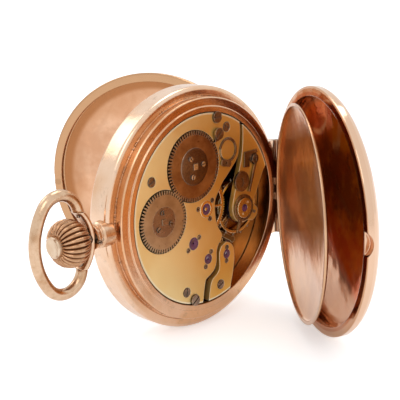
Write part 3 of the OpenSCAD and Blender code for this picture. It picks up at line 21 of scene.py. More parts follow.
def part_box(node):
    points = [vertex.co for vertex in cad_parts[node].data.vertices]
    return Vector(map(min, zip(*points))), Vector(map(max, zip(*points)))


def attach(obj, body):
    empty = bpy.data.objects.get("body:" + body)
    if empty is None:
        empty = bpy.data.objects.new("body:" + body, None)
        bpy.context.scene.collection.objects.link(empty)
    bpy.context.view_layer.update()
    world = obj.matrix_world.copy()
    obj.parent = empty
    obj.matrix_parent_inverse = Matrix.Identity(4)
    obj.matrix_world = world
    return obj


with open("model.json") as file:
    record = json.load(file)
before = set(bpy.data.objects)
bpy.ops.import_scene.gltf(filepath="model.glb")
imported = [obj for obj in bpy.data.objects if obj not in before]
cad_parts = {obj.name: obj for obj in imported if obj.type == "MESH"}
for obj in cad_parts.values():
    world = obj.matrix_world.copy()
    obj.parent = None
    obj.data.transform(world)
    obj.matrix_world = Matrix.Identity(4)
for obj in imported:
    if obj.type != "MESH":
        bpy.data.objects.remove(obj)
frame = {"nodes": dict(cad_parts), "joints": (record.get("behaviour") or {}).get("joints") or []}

LOG = logging.getLogger("pocket_watch")
MM = 0.001
Colour = tuple[float, float, float]
WHITE: Colour = (1.0, 1.0, 1.0)
Socket = bpy.types.NodeSocket
Options = Union[dict[Any, Any], None]


# ---- shader maths


class Field:
    """A value that varies over a surface: an output socket whose arithmetic adds Math nodes."""

    def __init__(self, shader: Shader, socket: Socket) -> None:
        """Wraps one output socket.

        Args:
            shader: The shader that the socket belongs to.
            socket: The output socket.
        """
        self.shader = shader
        self.socket = socket

    def _math(self, operation: str, *others: Number, clamp: bool = False) -> Field:
        """Adds a Math node on this value and others.

        Args:
            operation: The Math node's operation.
            others: The other operands, fields or numbers.
            clamp: Whether the result is held between 0 and 1.

        Returns:
            The result.
        """
        values = {0: self, **{i + 1: o for i, o in enumerate(others)}}
        return self.shader.field("Math", {"operation": operation, "use_clamp": clamp}, values)

    def __add__(self, other: Number) -> Field:
        """Sum."""
        return self._math("ADD", other)

    __radd__ = __add__

    def __mul__(self, other: Number) -> Field:
        """Product."""
        return self._math("MULTIPLY", other)

    __rmul__ = __mul__

    def __sub__(self, other: Number) -> Field:
        """Difference."""
        return self._math("SUBTRACT", other)

    def __rsub__(self, other: Number) -> Field:
        """Difference from a number."""
        return (self * -1.0) + other

    def __pow__(self, other: Number) -> Field:
        """Power."""
        return self._math("POWER", other)

    def __abs__(self) -> Field:
        """Size without sign."""
        return self._math("ABSOLUTE")

    def sine(self) -> Field:
        """Sine of the value in radians."""
        return self._math("SINE")

    def fraction(self) -> Field:
        """Part after the decimal point."""
        return self._math("FRACT")

    def angle_to(self, other: Field) -> Field:
        """Angle whose tangent is this value over the other, in radians."""
        return self._math("ARCTAN2", other)

    def held(self) -> Field:
        """The value held between 0 and 1."""
        return self._math("ADD", 0.0, clamp=True)

    def rise(self, low: float, high: float) -> Field:
        """Smooth step from 0 at low to 1 at high.

        Args:
            low: Where the step starts.
            high: Where it ends; it may lie below low, for a falling step.

        Returns:
            The step, between 0 and 1.
        """
        values = {"Value": self, "From Min": low, "From Max": high}
        return self.shader.field("MapRange", {"interpolation_type": "SMOOTHSTEP"}, values)

    def band(self, middle: float, half: float) -> Field:
        """1 at middle, falling smoothly to 0 at half away from it."""
        return abs(self - middle).rise(half, half * 0.2)


Number = Union[Field, float, int]


@dataclass
class Place:
    """Coordinates of a surface point about an axis, in millimetres.

    r is the distance from the axis and h the height along it; x, y and z run along the world's
    axes from the centre.
    """

    x: Field
    y: Field
    z: Field
    r: Field
    h: Field


def rgba(colour: Any) -> Any:
    """A colour with its alpha, or a socket as it is."""
    return (*colour, 1) if isinstance(colour, tuple) else colour


def add_node(tree: bpy.types.NodeTree, kind: str, settings: Options = None,
             values: Options = None) -> bpy.types.Node:
    """Adds any node to any tree.

    Args:
        tree: The tree.
        kind: The node's type.
        settings: Its properties, which are set before its inputs.
        values: Its inputs by name or number, as values, sockets or fields.

    Returns:
        The node.
    """
    made = tree.nodes.new(kind)
    for key, value in (settings or {}).items():
        setattr(made, key, value)
    for key, value in (values or {}).items():
        if isinstance(value, Field):
            value = value.socket
        if isinstance(value, Socket):
            tree.links.new(value, made.inputs[key])
        else:
            made.inputs[key].default_value = value
    return made


class Shader:
    """Node tree of one material, made by expressions on Field values."""

    def __init__(self, name: str) -> None:
        """Makes an empty material.

        Args:
            name: The material's name.
        """
        self.material = bpy.data.materials.new(name)
        self.material.use_nodes = True
        self.tree = self.material.node_tree
        self.tree.nodes.clear()
        coordinates = self.node("TexCoord")
        scaled = self.node("VectorMath", {"operation": "SCALE"},
                           {0: coordinates.outputs["Object"], "Scale": 1 / MM})
        self.point = scaled.outputs[0]
        self.normal = coordinates.outputs["Normal"]

    def node(self, kind: str, settings: Options = None, values: Options = None) -> bpy.types.Node:
        """Adds a shader node to this material, by its type without the prefix."""
        return add_node(self.tree, "ShaderNode" + kind, settings, values)

    def field(self, kind: str, settings: Options = None, values: Options = None,
              output: Any = 0) -> Field:
        """Adds a node and wraps one of its outputs."""
        return Field(self, self.node(kind, settings, values).outputs[output])

    def vector(self, operation: str, *values: Any) -> Socket:
        """Vector that a Vector Math node makes of others."""
        settings = {"operation": operation}
        return self.node("VectorMath", settings, dict(enumerate(values))).outputs[0]

    def measure(self, operation: str, *values: Any) -> Field:
        """Number that a Vector Math node makes of vectors, such as a length."""
        settings = {"operation": operation}
        return self.field("VectorMath", settings, dict(enumerate(values)), "Value")

    def about(self, centre: Vector, axis: Vector = Vector((0, -1, 0))) -> Place:
        """Coordinates about an axis through a point.

        Args:
            centre: The point, in metres.
            axis: Direction of the axis, of length 1.

        Returns:
            The place of the surface point about that axis.
        """
        line = tuple(axis)
        moved = self.vector("SUBTRACT", self.point, tuple(c / MM for c in centre))
        split = self.node("SeparateXYZ", values={0: moved})
        x, y, z = (Field(self, split.outputs[i]) for i in range(3))
        r = self.measure("LENGTH", self.vector("CROSS_PRODUCT", moved, line))
        return Place(x, y, z, r, self.measure("DOT_PRODUCT", moved, line))

    def contours(self, scale: float, lines: float, width: float) -> Field:
        """Thin nested curves, as a wavy polished surface shows its reflections."""
        return (self.noise(scale, 0.6, 0.4) * lines).fraction().band(0.5, width)

    def noise(self, scale: float, detail: float = 3, roughness: float = 0.5,
              stretch: tuple[float, float, float] | None = None) -> Field:
        """Noise with so many features a millimetre, optionally stretched along the axes."""
        point = self.vector("MULTIPLY", self.point, stretch) if stretch else self.point
        values = {"Vector": point, "Scale": scale, "Detail": detail, "Roughness": roughness}
        return self.field("TexNoise", None, values)

    def facing(self, direction: Vector) -> Field:
        """How far the surface faces a direction, from -1 to 1."""
        return self.measure("DOT_PRODUCT", self.normal, tuple(direction))

    def mix(self, share: Number, first: Any, second: Any) -> Socket:
        """Mixes two colours.

        Args:
            share: Share of the second colour.
            first: A colour or a socket.
            second: A colour or a socket.

        Returns:
            The mixed colour.
        """
        values = {0: share, 6: rgba(first), 7: rgba(second)}
        return self.node("Mix", {"data_type": "RGBA"}, values).outputs[2]

    def edges(self, radius: float) -> Socket:
        """Normal that rounds every edge over so many millimetres."""
        return self.node("Bevel", {"samples": 8}, {"Radius": radius * MM}).outputs[0]

    # Mask for painted highlights: the finishes paint a bright line along every sharp edge with it.
    def worn_edges(self, radius: float) -> Field:
        """1 along sharp edges, over so many millimetres, and 0 on the faces between them."""
        geometry = self.node("NewGeometry")
        alike = self.measure("DOT_PRODUCT", self.edges(radius), geometry.outputs["True Normal"])
        return (1.0 - alike).rise(0.01, 0.2)

    # Mask for painted shade: the finishes darken slots, gaps and corners with it.
    def hollows(self, reach: float) -> Field:
        """1 in slots, gaps and corners, judged over so many millimetres, and 0 in the open."""
        open_air = self.field("AmbientOcclusion", {"samples": 4, "only_local": False},
                              {"Distance": reach * MM}, "AO")
        return 1.0 - open_air

    def by_hinges(self) -> Field:
        """1 on the knuckles round the three hinge pins, which the finishes make darker, and 0
        elsewhere.
        """
        near: Number = 0.0
        for hinge in HINGES:
            near = self.about(joint_point(hinge), Vector((0, 0, 1))).r.rise(1.5, 0.9) + near
        return near.held()

    def bump(self, height: Field, depth: float, edge: float = 0.0) -> Socket:
        """Normal of a surface raised by height times depth in millimetres, with rounded edges."""
        values = {"Height": height, "Strength": 1.0, "Distance": depth * MM}
        if edge:
            values["Normal"] = self.edges(edge)
        return self.node("Bump", None, values).outputs[0]

    def surface(self, colour: Any, roughness: Number, metallic: Number = 1.0,
                normal: Socket | None = None, **more: Any) -> bpy.types.Material:
        """Ends the tree in a Principled shader.

        Args:
            colour: Base colour, a tuple or a socket.
            roughness: Roughness.
            metallic: Metallic.
            normal: Normal, if it is bumped.
            more: Other inputs, with spaces written as underscores.

        Returns:
            The finished material.
        """
        values: dict[Any, Any] = {"Base Color": rgba(colour), "Roughness": roughness,
                                  "Metallic": metallic}
        if normal is not None:
            values["Normal"] = normal
        values.update({key.replace("_", " "): value for key, value in more.items()})
        shader = self.node("BsdfPrincipled", None, values)
        self.node("OutputMaterial", None, {"Surface": shader.outputs[0]})
        return self.material


# ---- places


def joint_point(name: str) -> Vector:
    """Point on a joint's axis, in metres."""
    return Vector(next(j["pos_m"] for j in frame["joints"] if j["name"] == name))


def opened(hinge: str, degrees: float) -> tuple[Vector, Vector]:
    """Axis of a lid that stands open at rest.

    Args:
        hinge: Name of the lid's hinge.
        degrees: How far the lid has turned about +Z from its closed place, where it is centred
            on the watch.

    Returns:
        A point on the lid's axis, in metres, and the direction of that axis.
    """
    pin = joint_point(hinge)
    turn = Matrix.Rotation(math.radians(degrees), 3, "Z")
    return pin + turn @ (CENTRE - pin), turn @ Vector((0, -1, 0))


HINGES = ("back_cover_hinge", "cuvette_hinge", "front_cover_hinge")
WINDING_WHEELS = ("ratchet_turn", "crown_wheel_turn")
CENTRE = joint_point("minute_turn")
DECK = Vector((CENTRE.x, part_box("train_bridge")[0][1], CENTRE.z))
DIAL_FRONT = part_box("dial")[1][1]


# ---- finishes


@dataclass(frozen=True)
class CaseGold:
    """Polished rose gold with copper patches, fine scratches, dirt in the seams and a painted cream
    highlight on the band and along its edges.

    The seam is the step between the band and the ring that the back cover shuts on, and lies
    seam_depth below the bridge's face. The rings lie inside band_radius.
    """

    name: str = "rose_gold_polished"
    light: Colour = (0.8, 0.54, 0.37)
    deep: Colour = (0.7, 0.39, 0.2)
    # Colour of the painted highlight on the band and along the edges.
    cream: Colour = (0.9, 0.71, 0.56)
    grime: Colour = (0.1, 0.035, 0.012)
    roughness: float = 0.15
    seam_radius: float = 24.45
    seam_depth: float = 2.1
    band_radius: float = 25.7
    edge: float = 0.2

    def material(self) -> bpy.types.Material:
        """Builds the material."""
        s = Shader(self.name)
        place = s.about(DECK + Vector((0, self.seam_depth * MM, 0)))
        patches = s.noise(0.1, 4, 0.6).rise(0.36, 0.66)
        on_rings = place.r.rise(self.band_radius - 0.1, self.band_radius - 0.8)
        on_rings = on_rings * place.h.rise(-1.5, -0.3)
        colour = s.mix((patches * 0.75 + on_rings * 0.12).held(), self.light, self.deep)
        # Painted highlight: a cream sheen on the outer band, by radius and noise, and along every
        # edge.
        rubbed = s.noise(0.09, 3, 0.5).rise(0.3, 0.62)
        rubbed = rubbed * place.r.rise(self.band_radius, self.band_radius + 0.6)
        rubbed = (rubbed + s.worn_edges(self.edge) * 0.8).held()
        colour = s.mix(rubbed * 0.55, colour, self.cream)
        specks = s.noise(3.2, 4, 0.7)
        seam = place.r.band(self.seam_radius, 0.4) * place.h.band(0.0, 0.6)
        seam = seam * s.noise(0.22, 2, 0.5).rise(0.3, 0.56)
        dirt = (specks + seam * 0.18).rise(0.68, 0.75)
        stains = s.noise(0.35, 5, 0.7).rise(0.56, 0.72) * 0.4
        # Dirt, stains and a darker tone round the hinges.
        dark = (dirt * 0.8 + stains * 0.6 + s.by_hinges() * 0.6).held()
        colour = s.mix(dark, colour, self.grime)
        scratches = s.noise(2.2, 4, 0.6, (1, 1, 7))
        dents = s.noise(0.4, 3, 0.5)
        rough = scratches * 0.1 + dirt * 0.35 + self.roughness
        height = dents * 0.9 + scratches * 0.04
        return s.surface(colour, rough, 1.0, s.bump(height, 0.05, self.edge))


@dataclass(frozen=True)
class PendantGold:
    """Paler, worn gold of the bow, the yoke and the pendant."""

    name: str = "pale_gold_worn"
    light: Colour = (0.8, 0.57, 0.4)
    deep: Colour = (0.54, 0.29, 0.15)
    roughness: float = 0.16
    edge: float = 0.25
    depth: float = 0.02
    pit: Colour = (0.14, 0.06, 0.025)

    def material(self) -> bpy.types.Material:
        """Builds the material."""
        s = Shader(self.name)
        wear = s.noise(0.28, 5, 0.65).rise(0.38, 0.68)
        colour = s.mix(wear * 0.7, self.light, self.deep)
        pits = s.noise(2.6, 4, 0.7).rise(0.68, 0.76)
        colour = s.mix(pits * 0.5, colour, self.pit)
        rubbed = s.noise(3.0, 4, 0.6, (1, 3, 1))
        return s.surface(colour, rubbed * 0.12 + self.roughness, 1.0,
                         s.bump(rubbed * 0.2 + wear * 0.5, self.depth, self.edge))


@dataclass(frozen=True)
class FlutedGold:
    """Gold of the crown, with painted shade down the flanks of its ribs and in the grooves between
    them.
    """

    name: str = "pale_gold_fluted"
    ribs: int = 26
    light: Colour = (0.6, 0.36, 0.21)
    deep: Colour = (0.36, 0.16, 0.065)
    # Colour of the painted shade in the grooves.
    groove: Colour = (0.07, 0.028, 0.01)
    roughness: float = 0.2
    edge: float = 0.3

    def material(self) -> bpy.types.Material:
        """Builds the material."""
        s = Shader(self.name)
        place = s.about(joint_point("crown_turn"), Vector((-1, 0, 0)))
        turn = place.z.angle_to(place.y * -1.0) * (self.ribs / (2 * math.pi)) + self.ribs
        crest = (turn.fraction() * math.pi).sine()
        groove = (1.0 - crest).rise(0.45, 0.95)
        worn = s.noise(0.9, 4, 0.6).rise(0.35, 0.7)
        # Painted shade: darker down each rib's flanks, and nearly black in the grooves.
        colour = s.mix((worn * 0.5 + (1.0 - crest) * 0.7).held(), self.light, self.deep)
        colour = s.mix(groove * 0.9, colour, self.groove)
        rough = groove * 0.3 + worn * 0.06 + self.roughness
        return s.surface(colour, rough, 1.0, s.bump(worn, 0.01, self.edge))


@dataclass(frozen=True)
class Rub:
    """Painted reflection on a lid's inside: a paler patch beyond a line or curve across it.

    The patch lies where across times the distance from the lid's axis, away from the hinge, plus
    height times the height over the axis passes start. The curve draws its line back, above and
    below middle.
    """

    colour: Colour
    share: float
    across: float
    height: float
    start: float
    curve: float = 0.0
    middle: float = 0.0


@dataclass(frozen=True)
class LidGold:
    """Lid with a polished outside and a wavy, tarnished mirror inside that carries painted
    reflections and painted shade on the wall of its rim.

    The opening in degrees is how far the lid has turned about +Z from its closed place. A lid
    with flip shuts over the dial. The inside's rim starts at rim_radius, where painted shade on its
    wall begins, and changes to a lighter colour at rim_split, and stains lie thickest stain_height
    above the lid's axis.
    """

    name: str
    hinge: str
    opening: float
    flip: bool
    light: Colour
    deep: Colour
    # Colour of the painted shade on the rim's wall.
    rim: Colour
    rim_light: Colour = (0.72, 0.46, 0.3)
    rim_radius: float = 23.6
    rim_split: float = 25.35
    metallic: float = 1.0
    # arcs, lines and line_tint set painted reflections of the surroundings.
    arcs: float = 0.0
    stain: Colour = (0.1, 0.02, 0.006)
    stains: float = 0.5
    stain_height: float = 6.3
    waves: float = 0.4
    lines: float = 0.35
    line_tint: Colour = (0.85, 0.5, 0.28)
    roughness: float = 0.07
    edge: float = 0.35
    outside: Colour = (0.77, 0.52, 0.37)
    copper: Colour = (0.7, 0.42, 0.25)
    grime: Colour = (0.12, 0.04, 0.015)
    specular: float = 0.25
    # Paler patches, each a painted reflection.
    rubs: tuple[Rub, ...] = ()

    def rubbed(self, s: Shader, place: Place, first: Socket) -> Socket:
        """Lays the painted reflections, paler patches, over a tarnished inside.

        Args:
            s: The shader.
            place: The surface point about the lid's axis.
            first: The tarnished colour.

        Returns:
            The colour with the patches.
        """
        turn = math.radians(self.opening)
        ragged = s.noise(0.5, 3, 0.6, (1, 1, 0.3)) * 3.0 - 1.5
        across = place.x * -math.cos(turn) - place.y * math.sin(turn) + ragged
        # Each patch is a painted reflection of the bright surroundings.
        for painted_patch in self.rubs:
            beyond = across * painted_patch.across + place.z * painted_patch.height - painted_patch.start
            if painted_patch.curve:
                beyond = beyond - (place.z - painted_patch.middle) ** 2 * painted_patch.curve
            first = s.mix(beyond.rise(-1.6, 2.4) * painted_patch.share, first, painted_patch.colour)
        return first

    def material(self) -> bpy.types.Material:
        """Builds the material."""
        s = Shader(self.name)
        centre, out = opened(self.hinge, self.opening)
        if self.flip:
            out = -out
        place = s.about(centre, out)
        outer_face = s.facing(out).rise(-0.25, 0.1)
        clouds = s.noise(0.13, 5, 0.65).rise(0.36, 0.64)
        inside = s.mix(clouds, self.light, self.deep)
        # Painted reflections: thin nested curves and, with arcs, wide rings.
        curves = s.contours(0.055, 6, 0.14) * s.noise(0.08, 2, 0.5).rise(0.4, 0.6)
        inside = s.mix(curves * self.lines, inside, self.line_tint)
        if self.arcs:
            reflection_arcs = (place.r * 0.42 + s.noise(0.035, 2, 0.5) * 7.0).sine() * 0.5 + 0.5
            inside = s.mix(reflection_arcs.rise(0.3, 1.0) * self.arcs, inside, self.line_tint)
        blotch = place.z.band(self.stain_height, 13.0) * 0.35 + s.noise(0.16, 5, 0.7)
        inside = s.mix(blotch.rise(0.62, 0.86) * self.stains, inside, self.stain)
        # Painted reflections as paler patches.
        if self.rubs:
            inside = self.rubbed(s, place, inside)
        # Painted shade on the rim's wall, then the lighter flat beyond rim_split.
        on_rim = place.r.rise(self.rim_radius - 0.9, self.rim_radius + 0.5)
        inside = s.mix(on_rim * 0.85, inside, self.rim)
        on_edge = place.r.rise(self.rim_split - 0.12, self.rim_split + 0.12)
        inside = s.mix(on_edge, inside, self.rim_light)
        shell = s.mix(s.noise(0.06, 2, 0.5).rise(0.3, 0.7) * 0.3, self.outside, self.copper)
        colour = s.mix(outer_face, inside, shell)
        specks = s.noise(1.9, 5, 0.7).rise(0.72, 0.78)
        # Dirt specks and a darker tone round the hinges.
        colour = s.mix((specks * 0.45 + s.by_hinges() * 0.6).held(), colour, self.grime)
        scratches = s.noise(3.0, 3, 0.6, (1, 1, 5))
        rough = scratches * 0.07 + specks * 0.3 + self.roughness
        waves = s.noise(0.09, 2, 0.45) * self.waves + s.noise(0.4, 3, 0.5) * 0.03
        metallic: Number = 1.0
        if self.metallic < 1:
            bare = (outer_face + place.r.rise(self.rim_radius, self.rim_split)).held()
            metallic = bare * (1 - self.metallic) + self.metallic
        return s.surface(colour, rough, metallic, s.bump(waves, 1.0, self.edge),
                         Specular_IOR_Level=self.specular)


@dataclass(frozen=True)
class Gilding:
    """Frosted gilt brass of the plates and bridges, with painted shade where it lies deep, in its
    hollows and toward the hinge side, and painted highlights along its edges.

    With sinks, the wells under the winding wheels are dark with painted shade and old oil. A rim is
    the radius of a painted highlight round the movement, a bright line where a chamfer would catch
    the light.
    """

    name: str = "gilt_frosted"
    light: Colour = (0.98, 0.8, 0.4)
    deep: Colour = (0.8, 0.45, 0.09)
    # The low colour is painted shade, where the gilding lies deep and in hollows; the edge colour is
    # painted highlight, along edges and round the rim.
    low: Colour = (0.1, 0.038, 0.01)
    edge: Colour = (1.0, 0.92, 0.66)
    spot: Colour = (0.25, 0.12, 0.04)
    # Painted shade, with old oil, in the wells.
    shade: Colour = (0.03, 0.016, 0.008)
    sinks: bool = False
    sink_radius: float = 8.2
    rim: float = 0.0
    roughness: float = 0.34
    grain: float = 0.01
    metallic: float = 0.75

    def material(self) -> bpy.types.Material:
        """Builds the material."""
        s = Shader(self.name)
        place = s.about(DECK)
        clouds = s.noise(0.07, 3, 0.5).rise(0.35, 0.7)
        # Painted shade: darker toward the hinge side, standing in for the dark reflection there.
        toward_hinge = place.x.rise(-16.0, 9.0)
        colour = s.mix((clouds * 0.4 + toward_hinge * 0.8).held(), self.light, self.deep)
        spots = s.noise(2.4, 3, 0.6).rise(0.72, 0.78)
        colour = s.mix(spots * 0.5, colour, self.spot)
        # Painted shade where the surface lies below the bridge's face.
        colour = s.mix(place.h.rise(-0.7, -2.2) * 0.85, colour, self.low)
        # Painted shade, with old oil, in the wells under the winding wheels.
        if self.sinks:
            wells: Number = 0.0
            for wheel in WINDING_WHEELS:
                around = s.about(joint_point(wheel)).r
                wells = around.rise(self.sink_radius, self.sink_radius - 0.2) + wells
            well = wells.held() * place.h.rise(-0.15, -0.35)
            colour = s.mix(well * 0.93, colour, self.shade)
        # Painted shade in hollows, then a painted highlight along every edge.
        colour = s.mix(s.hollows(0.9).rise(0.3, 0.9) * 0.85, colour, self.low)
        colour = s.mix(s.worn_edges(0.26) * 0.9, colour, self.edge)
        # Painted highlight round the movement's rim.
        if self.rim:
            rim_highlight = place.r.rise(self.rim - 0.42, self.rim - 0.3)
            colour = s.mix(rim_highlight * place.h.rise(-0.3, -0.1) * 0.85, colour, self.edge)
        grain = s.noise(14.0, 2, 0.5)
        rough = s.noise(0.4, 3, 0.5) * 0.1 + self.roughness
        return s.surface(colour, rough, self.metallic, s.bump(grain, self.grain, 0.16))


@dataclass(frozen=True)
class SnailedSteel:
    """Winding wheel of browned steel, polished in circles about its axis."""

    name: str
    axis: str
    light: Colour
    deep: Colour
    roughness: float = 0.28
    pitch: float = 0.22
    rust: Colour = (0.07, 0.025, 0.012)
    # Colour of painted highlights along the edges.
    edge: Colour = (0.75, 0.55, 0.36)
    shade: Colour = (0.015, 0.009, 0.006)

    def material(self) -> bpy.types.Material:
        """Builds the material."""
        s = Shader(self.name)
        place = s.about(joint_point(self.axis))
        rings = (place.r * (2 * math.pi / self.pitch)).sine() * 0.5 + 0.5
        patches = s.noise(0.22, 4, 0.6).rise(0.28, 0.72)
        colour = s.mix(patches, self.light, self.deep)
        rust = s.noise(1.3, 3, 0.6).rise(0.66, 0.74)
        colour = s.mix(rust * 0.7, colour, self.rust)
        # Painted highlights along edges, then painted shade in hollows.
        colour = s.mix(s.worn_edges(0.14) * 0.7, colour, self.edge)
        colour = s.mix(s.hollows(0.4).rise(0.2, 0.7) * 0.9, colour, self.shade)
        rough = s.noise(1.2, 4, 0.6) * 0.18 + self.roughness
        return s.surface(colour, rough, 1.0, s.bump(rings * 0.5 + patches * 0.5, 0.012, 0.07))


@dataclass(frozen=True)
class DarkSteel:
    """Hardened steel of screws, springs and levers."""

    name: str = "steel_dark"
    light: Colour = (0.42, 0.32, 0.24)
    deep: Colour = (0.22, 0.155, 0.115)
    roughness: float = 0.18
    # Colour of painted highlights along the edges.
    edge: Colour = (0.66, 0.54, 0.42)
    shade: Colour = (0.01, 0.007, 0.005)

    def material(self) -> bpy.types.Material:
        """Builds the material."""
        s = Shader(self.name)
        patches = s.noise(0.45, 4, 0.6).rise(0.35, 0.65)
        colour = s.mix(patches, self.light, self.deep)
        # Painted highlights along edges, then painted shade in hollows.
        colour = s.mix(s.worn_edges(0.12) * 0.7, colour, self.edge)
        colour = s.mix(s.hollows(0.45).rise(0.12, 0.4) * 0.95, colour, self.shade)
        brushed = s.noise(5.0, 3, 0.6, (1, 1, 6))
        rough = brushed * 0.15 + self.roughness
        return s.surface(colour, rough, 1.0, s.bump(brushed, 0.005, 0.07))


@dataclass(frozen=True)
class Plain:
    """Smooth finish with slight clouds: enamel, ruby, blued steel or ink."""

    name: str
    light: Colour
    deep: Colour
    roughness: float
    metallic: float = 0.0
    coat: float = 0.0
    scale: float = 0.4
    edge: float = 0.05

    def material(self) -> bpy.types.Material:
        """Builds the material."""
        s = Shader(self.name)
        colour = s.mix(s.noise(self.scale, 4, 0.6).rise(0.35, 0.65), self.light, self.deep)
        rough = s.noise(self.scale * 4, 3, 0.5) * 0.06 + self.roughness
        normal = s.bump(s.noise(3.0, 2, 0.5), 0.004, self.edge)
        return s.surface(colour, rough, self.metallic, normal, Coat_Weight=self.coat)


@dataclass(frozen=True)
class WatchGlass:
    """Thin clear crystal with faint scratches."""

    name: str = "crystal_clear"
    tint: Colour = (0.92, 0.95, 0.97)
    alpha: float = 0.1

    def material(self) -> bpy.types.Material:
        """Builds the material."""
        s = Shader(self.name)
        scratches = s.noise(1.4, 5, 0.7, (1, 1, 5)).rise(0.6, 0.75)
        made = s.surface(self.tint, scratches * 0.2 + 0.03, 0.0, None,
                         Alpha=scratches * 0.12 + self.alpha, Specular_IOR_Level=0.8)
        made.surface_render_method = "BLENDED"
        return made


class Metal(Enum):
    """Finishes of the watch."""

    CASE = CaseGold()
    PENDANT = PendantGold()
    CROWN = FlutedGold()
    BOW = PendantGold("pale_gold_bow", (0.7, 0.49, 0.33), (0.46, 0.24, 0.11), 0.1, 0.9, 0.006)
    BUTTON = PendantGold("pale_gold_button", (0.72, 0.56, 0.41), (0.6, 0.41, 0.26), 0.24, 0.15)
    # In the lids, rim is the colour of painted shade on the rim's wall, line_tint that of painted
    # reflections, and every paler patch is a painted reflection.
    BACK_LID = LidGold(
        "rose_gold_back_lid", "back_cover_hinge", 59, False,
        (1.0, 0.25, 0.01), (0.8, 0.12, 0.004), (0.46, 0.15, 0.04), (0.62, 0.34, 0.19),
        metallic=0.6, stain=(0.36, 0.06, 0.012), stains=0.8, waves=0.45, lines=0.85,
        line_tint=(1.0, 0.45, 0.16), roughness=0.08, outside=(0.8, 0.57, 0.42),
        specular=0.12, rubs=(Rub((0.9, 0.58, 0.38), 0.85, -0.536, -1, 9.5),))
    FRONT_LID = LidGold(
        "rose_gold_front_lid", "front_cover_hinge", -61, True,
        (0.76, 0.46, 0.29), (0.65, 0.35, 0.2), (0.37, 0.145, 0.05), (0.56, 0.32, 0.17),
        rim_radius=22.6, rim_split=24.5, stains=0.12, waves=0.25, lines=0.25,
        line_tint=(0.52, 0.25, 0.12), arcs=0.65, roughness=0.12)
    CUVETTE = LidGold(
        "rose_gold_inner_lid", "cuvette_hinge", 51, False,
        (0.76, 0.37, 0.13), (0.6, 0.24, 0.07), (0.62, 0.4, 0.27), (0.62, 0.4, 0.27),
        rim_radius=22.9, metallic=0.8, stain=(0.4, 0.16, 0.06), stains=0.25, waves=0.2,
        lines=0.18, line_tint=(0.8, 0.5, 0.27), roughness=0.13, outside=(0.62, 0.38, 0.22),
        # Paler patches of the inner lid, each a painted reflection.
        rubs=(Rub((0.86, 0.5, 0.22), 0.45, 1, 0, -7, 0.18, 5),
              Rub((0.88, 0.7, 0.54), 0.6, 1, 0, 9, 0.08, 11),
              Rub((0.84, 0.62, 0.47), 0.45, -0.3, -1, 7.5)))
    # In the gilding, the third colour given is that of painted shade.
    GILT = Gilding(rim=21.0)
    BRIDGE_GILT = Gilding("gilt_bridge", sinks=True, rim=21.0)
    PLATE_GILT = Gilding("gilt_plate", (0.7, 0.44, 0.13), (0.5, 0.27, 0.06), (0.2, 0.08, 0.016),
                         roughness=0.12, metallic=1.0)
    WHEEL_GILT = Gilding("gilt_polished", (0.98, 0.74, 0.32), (0.82, 0.52, 0.16), (0.66, 0.41, 0.13),
                         roughness=0.18, grain=0.003, metallic=1.0)
    RATCHET = SnailedSteel("steel_ratchet", "ratchet_turn", (0.5, 0.28, 0.12), (0.27, 0.13, 0.055))
    CAP = SnailedSteel("steel_cap", "ratchet_turn", (0.27, 0.19, 0.15), (0.15, 0.095, 0.07), 0.14)
    CROWN_WHEEL = SnailedSteel("steel_crown_wheel", "crown_wheel_turn",
                               (0.56, 0.43, 0.28), (0.38, 0.27, 0.17))
    CORE = SnailedSteel("steel_core", "crown_wheel_turn", (0.36, 0.26, 0.19), (0.24, 0.16, 0.12), 0.2)
    STEEL = DarkSteel()
    BRIGHT = DarkSteel("steel_bright", (0.5, 0.43, 0.37), (0.3, 0.24, 0.2), 0.2)
    SILVERY = DarkSteel("steel_silvery", (0.82, 0.76, 0.7), (0.58, 0.5, 0.43), 0.14)
    RUBY = Plain("ruby_polished", (0.11, 0.03, 0.11), (0.045, 0.01, 0.055), 0.04, 0.0, 1.0, 0.8, 0.15)
    BLUED = Plain("steel_blued", (0.03, 0.04, 0.12), (0.02, 0.02, 0.06), 0.2, 1.0)
    INK = Plain("ink_black", (0.012, 0.011, 0.012), (0.025, 0.022, 0.02), 0.45)
    ENAMEL = Plain("enamel_white", (0.84, 0.83, 0.78), (0.8, 0.78, 0.72), 0.1, 0.0, 0.6, 0.1)
    GLASS = WatchGlass()


DRESS: dict[Metal, tuple[str, ...]] = {
    Metal.CASE: ("case_middle", "bezel"),
    Metal.PENDANT: ("pendant", "yoke"),
    Metal.BOW: ("bow",),
    Metal.CROWN: ("crown",),
    Metal.BUTTON: ("crown_button",),
    Metal.BACK_LID: ("back_cover",),
    Metal.FRONT_LID: ("front_cover",),
    Metal.CUVETTE: ("cuvette",),
    Metal.GILT: ("escape_cock", "balance_cock", "pallet_bridge"),
    Metal.BRIDGE_GILT: ("train_bridge",),
    Metal.PLATE_GILT: ("main_plate",),
    Metal.WHEEL_GILT: ("barrel", "centre_wheel", "third_wheel", "fourth_wheel", "escape_wheel",
                       "balance_wheel", "endpiece", "jewel_setting", "hour_wheel", "minute_wheel"),
    Metal.RATCHET: ("ratchet_wheel",),
    Metal.CAP: ("ratchet_cap",),
    Metal.CROWN_WHEEL: ("crown_wheel",),
    Metal.CORE: ("crown_wheel_core",),
    Metal.SILVERY: ("ratchet_cap_screws", "barrel_arbor"),
    Metal.BRIGHT: ("click_spring", "case_springs", "hairspring_stud", "stem", "winding_pinion",
                   "sliding_pinion", "hinge_pins"),
    Metal.RUBY: ("jewels", "pallet_stones"),
    Metal.BLUED: ("minute_hand", "hour_hand", "seconds_hand", "hairspring", "mainspring"),
    Metal.ENAMEL: ("dial",),
    Metal.GLASS: ("crystal",),
}
MADE: dict[Metal, bpy.types.Material] = {}


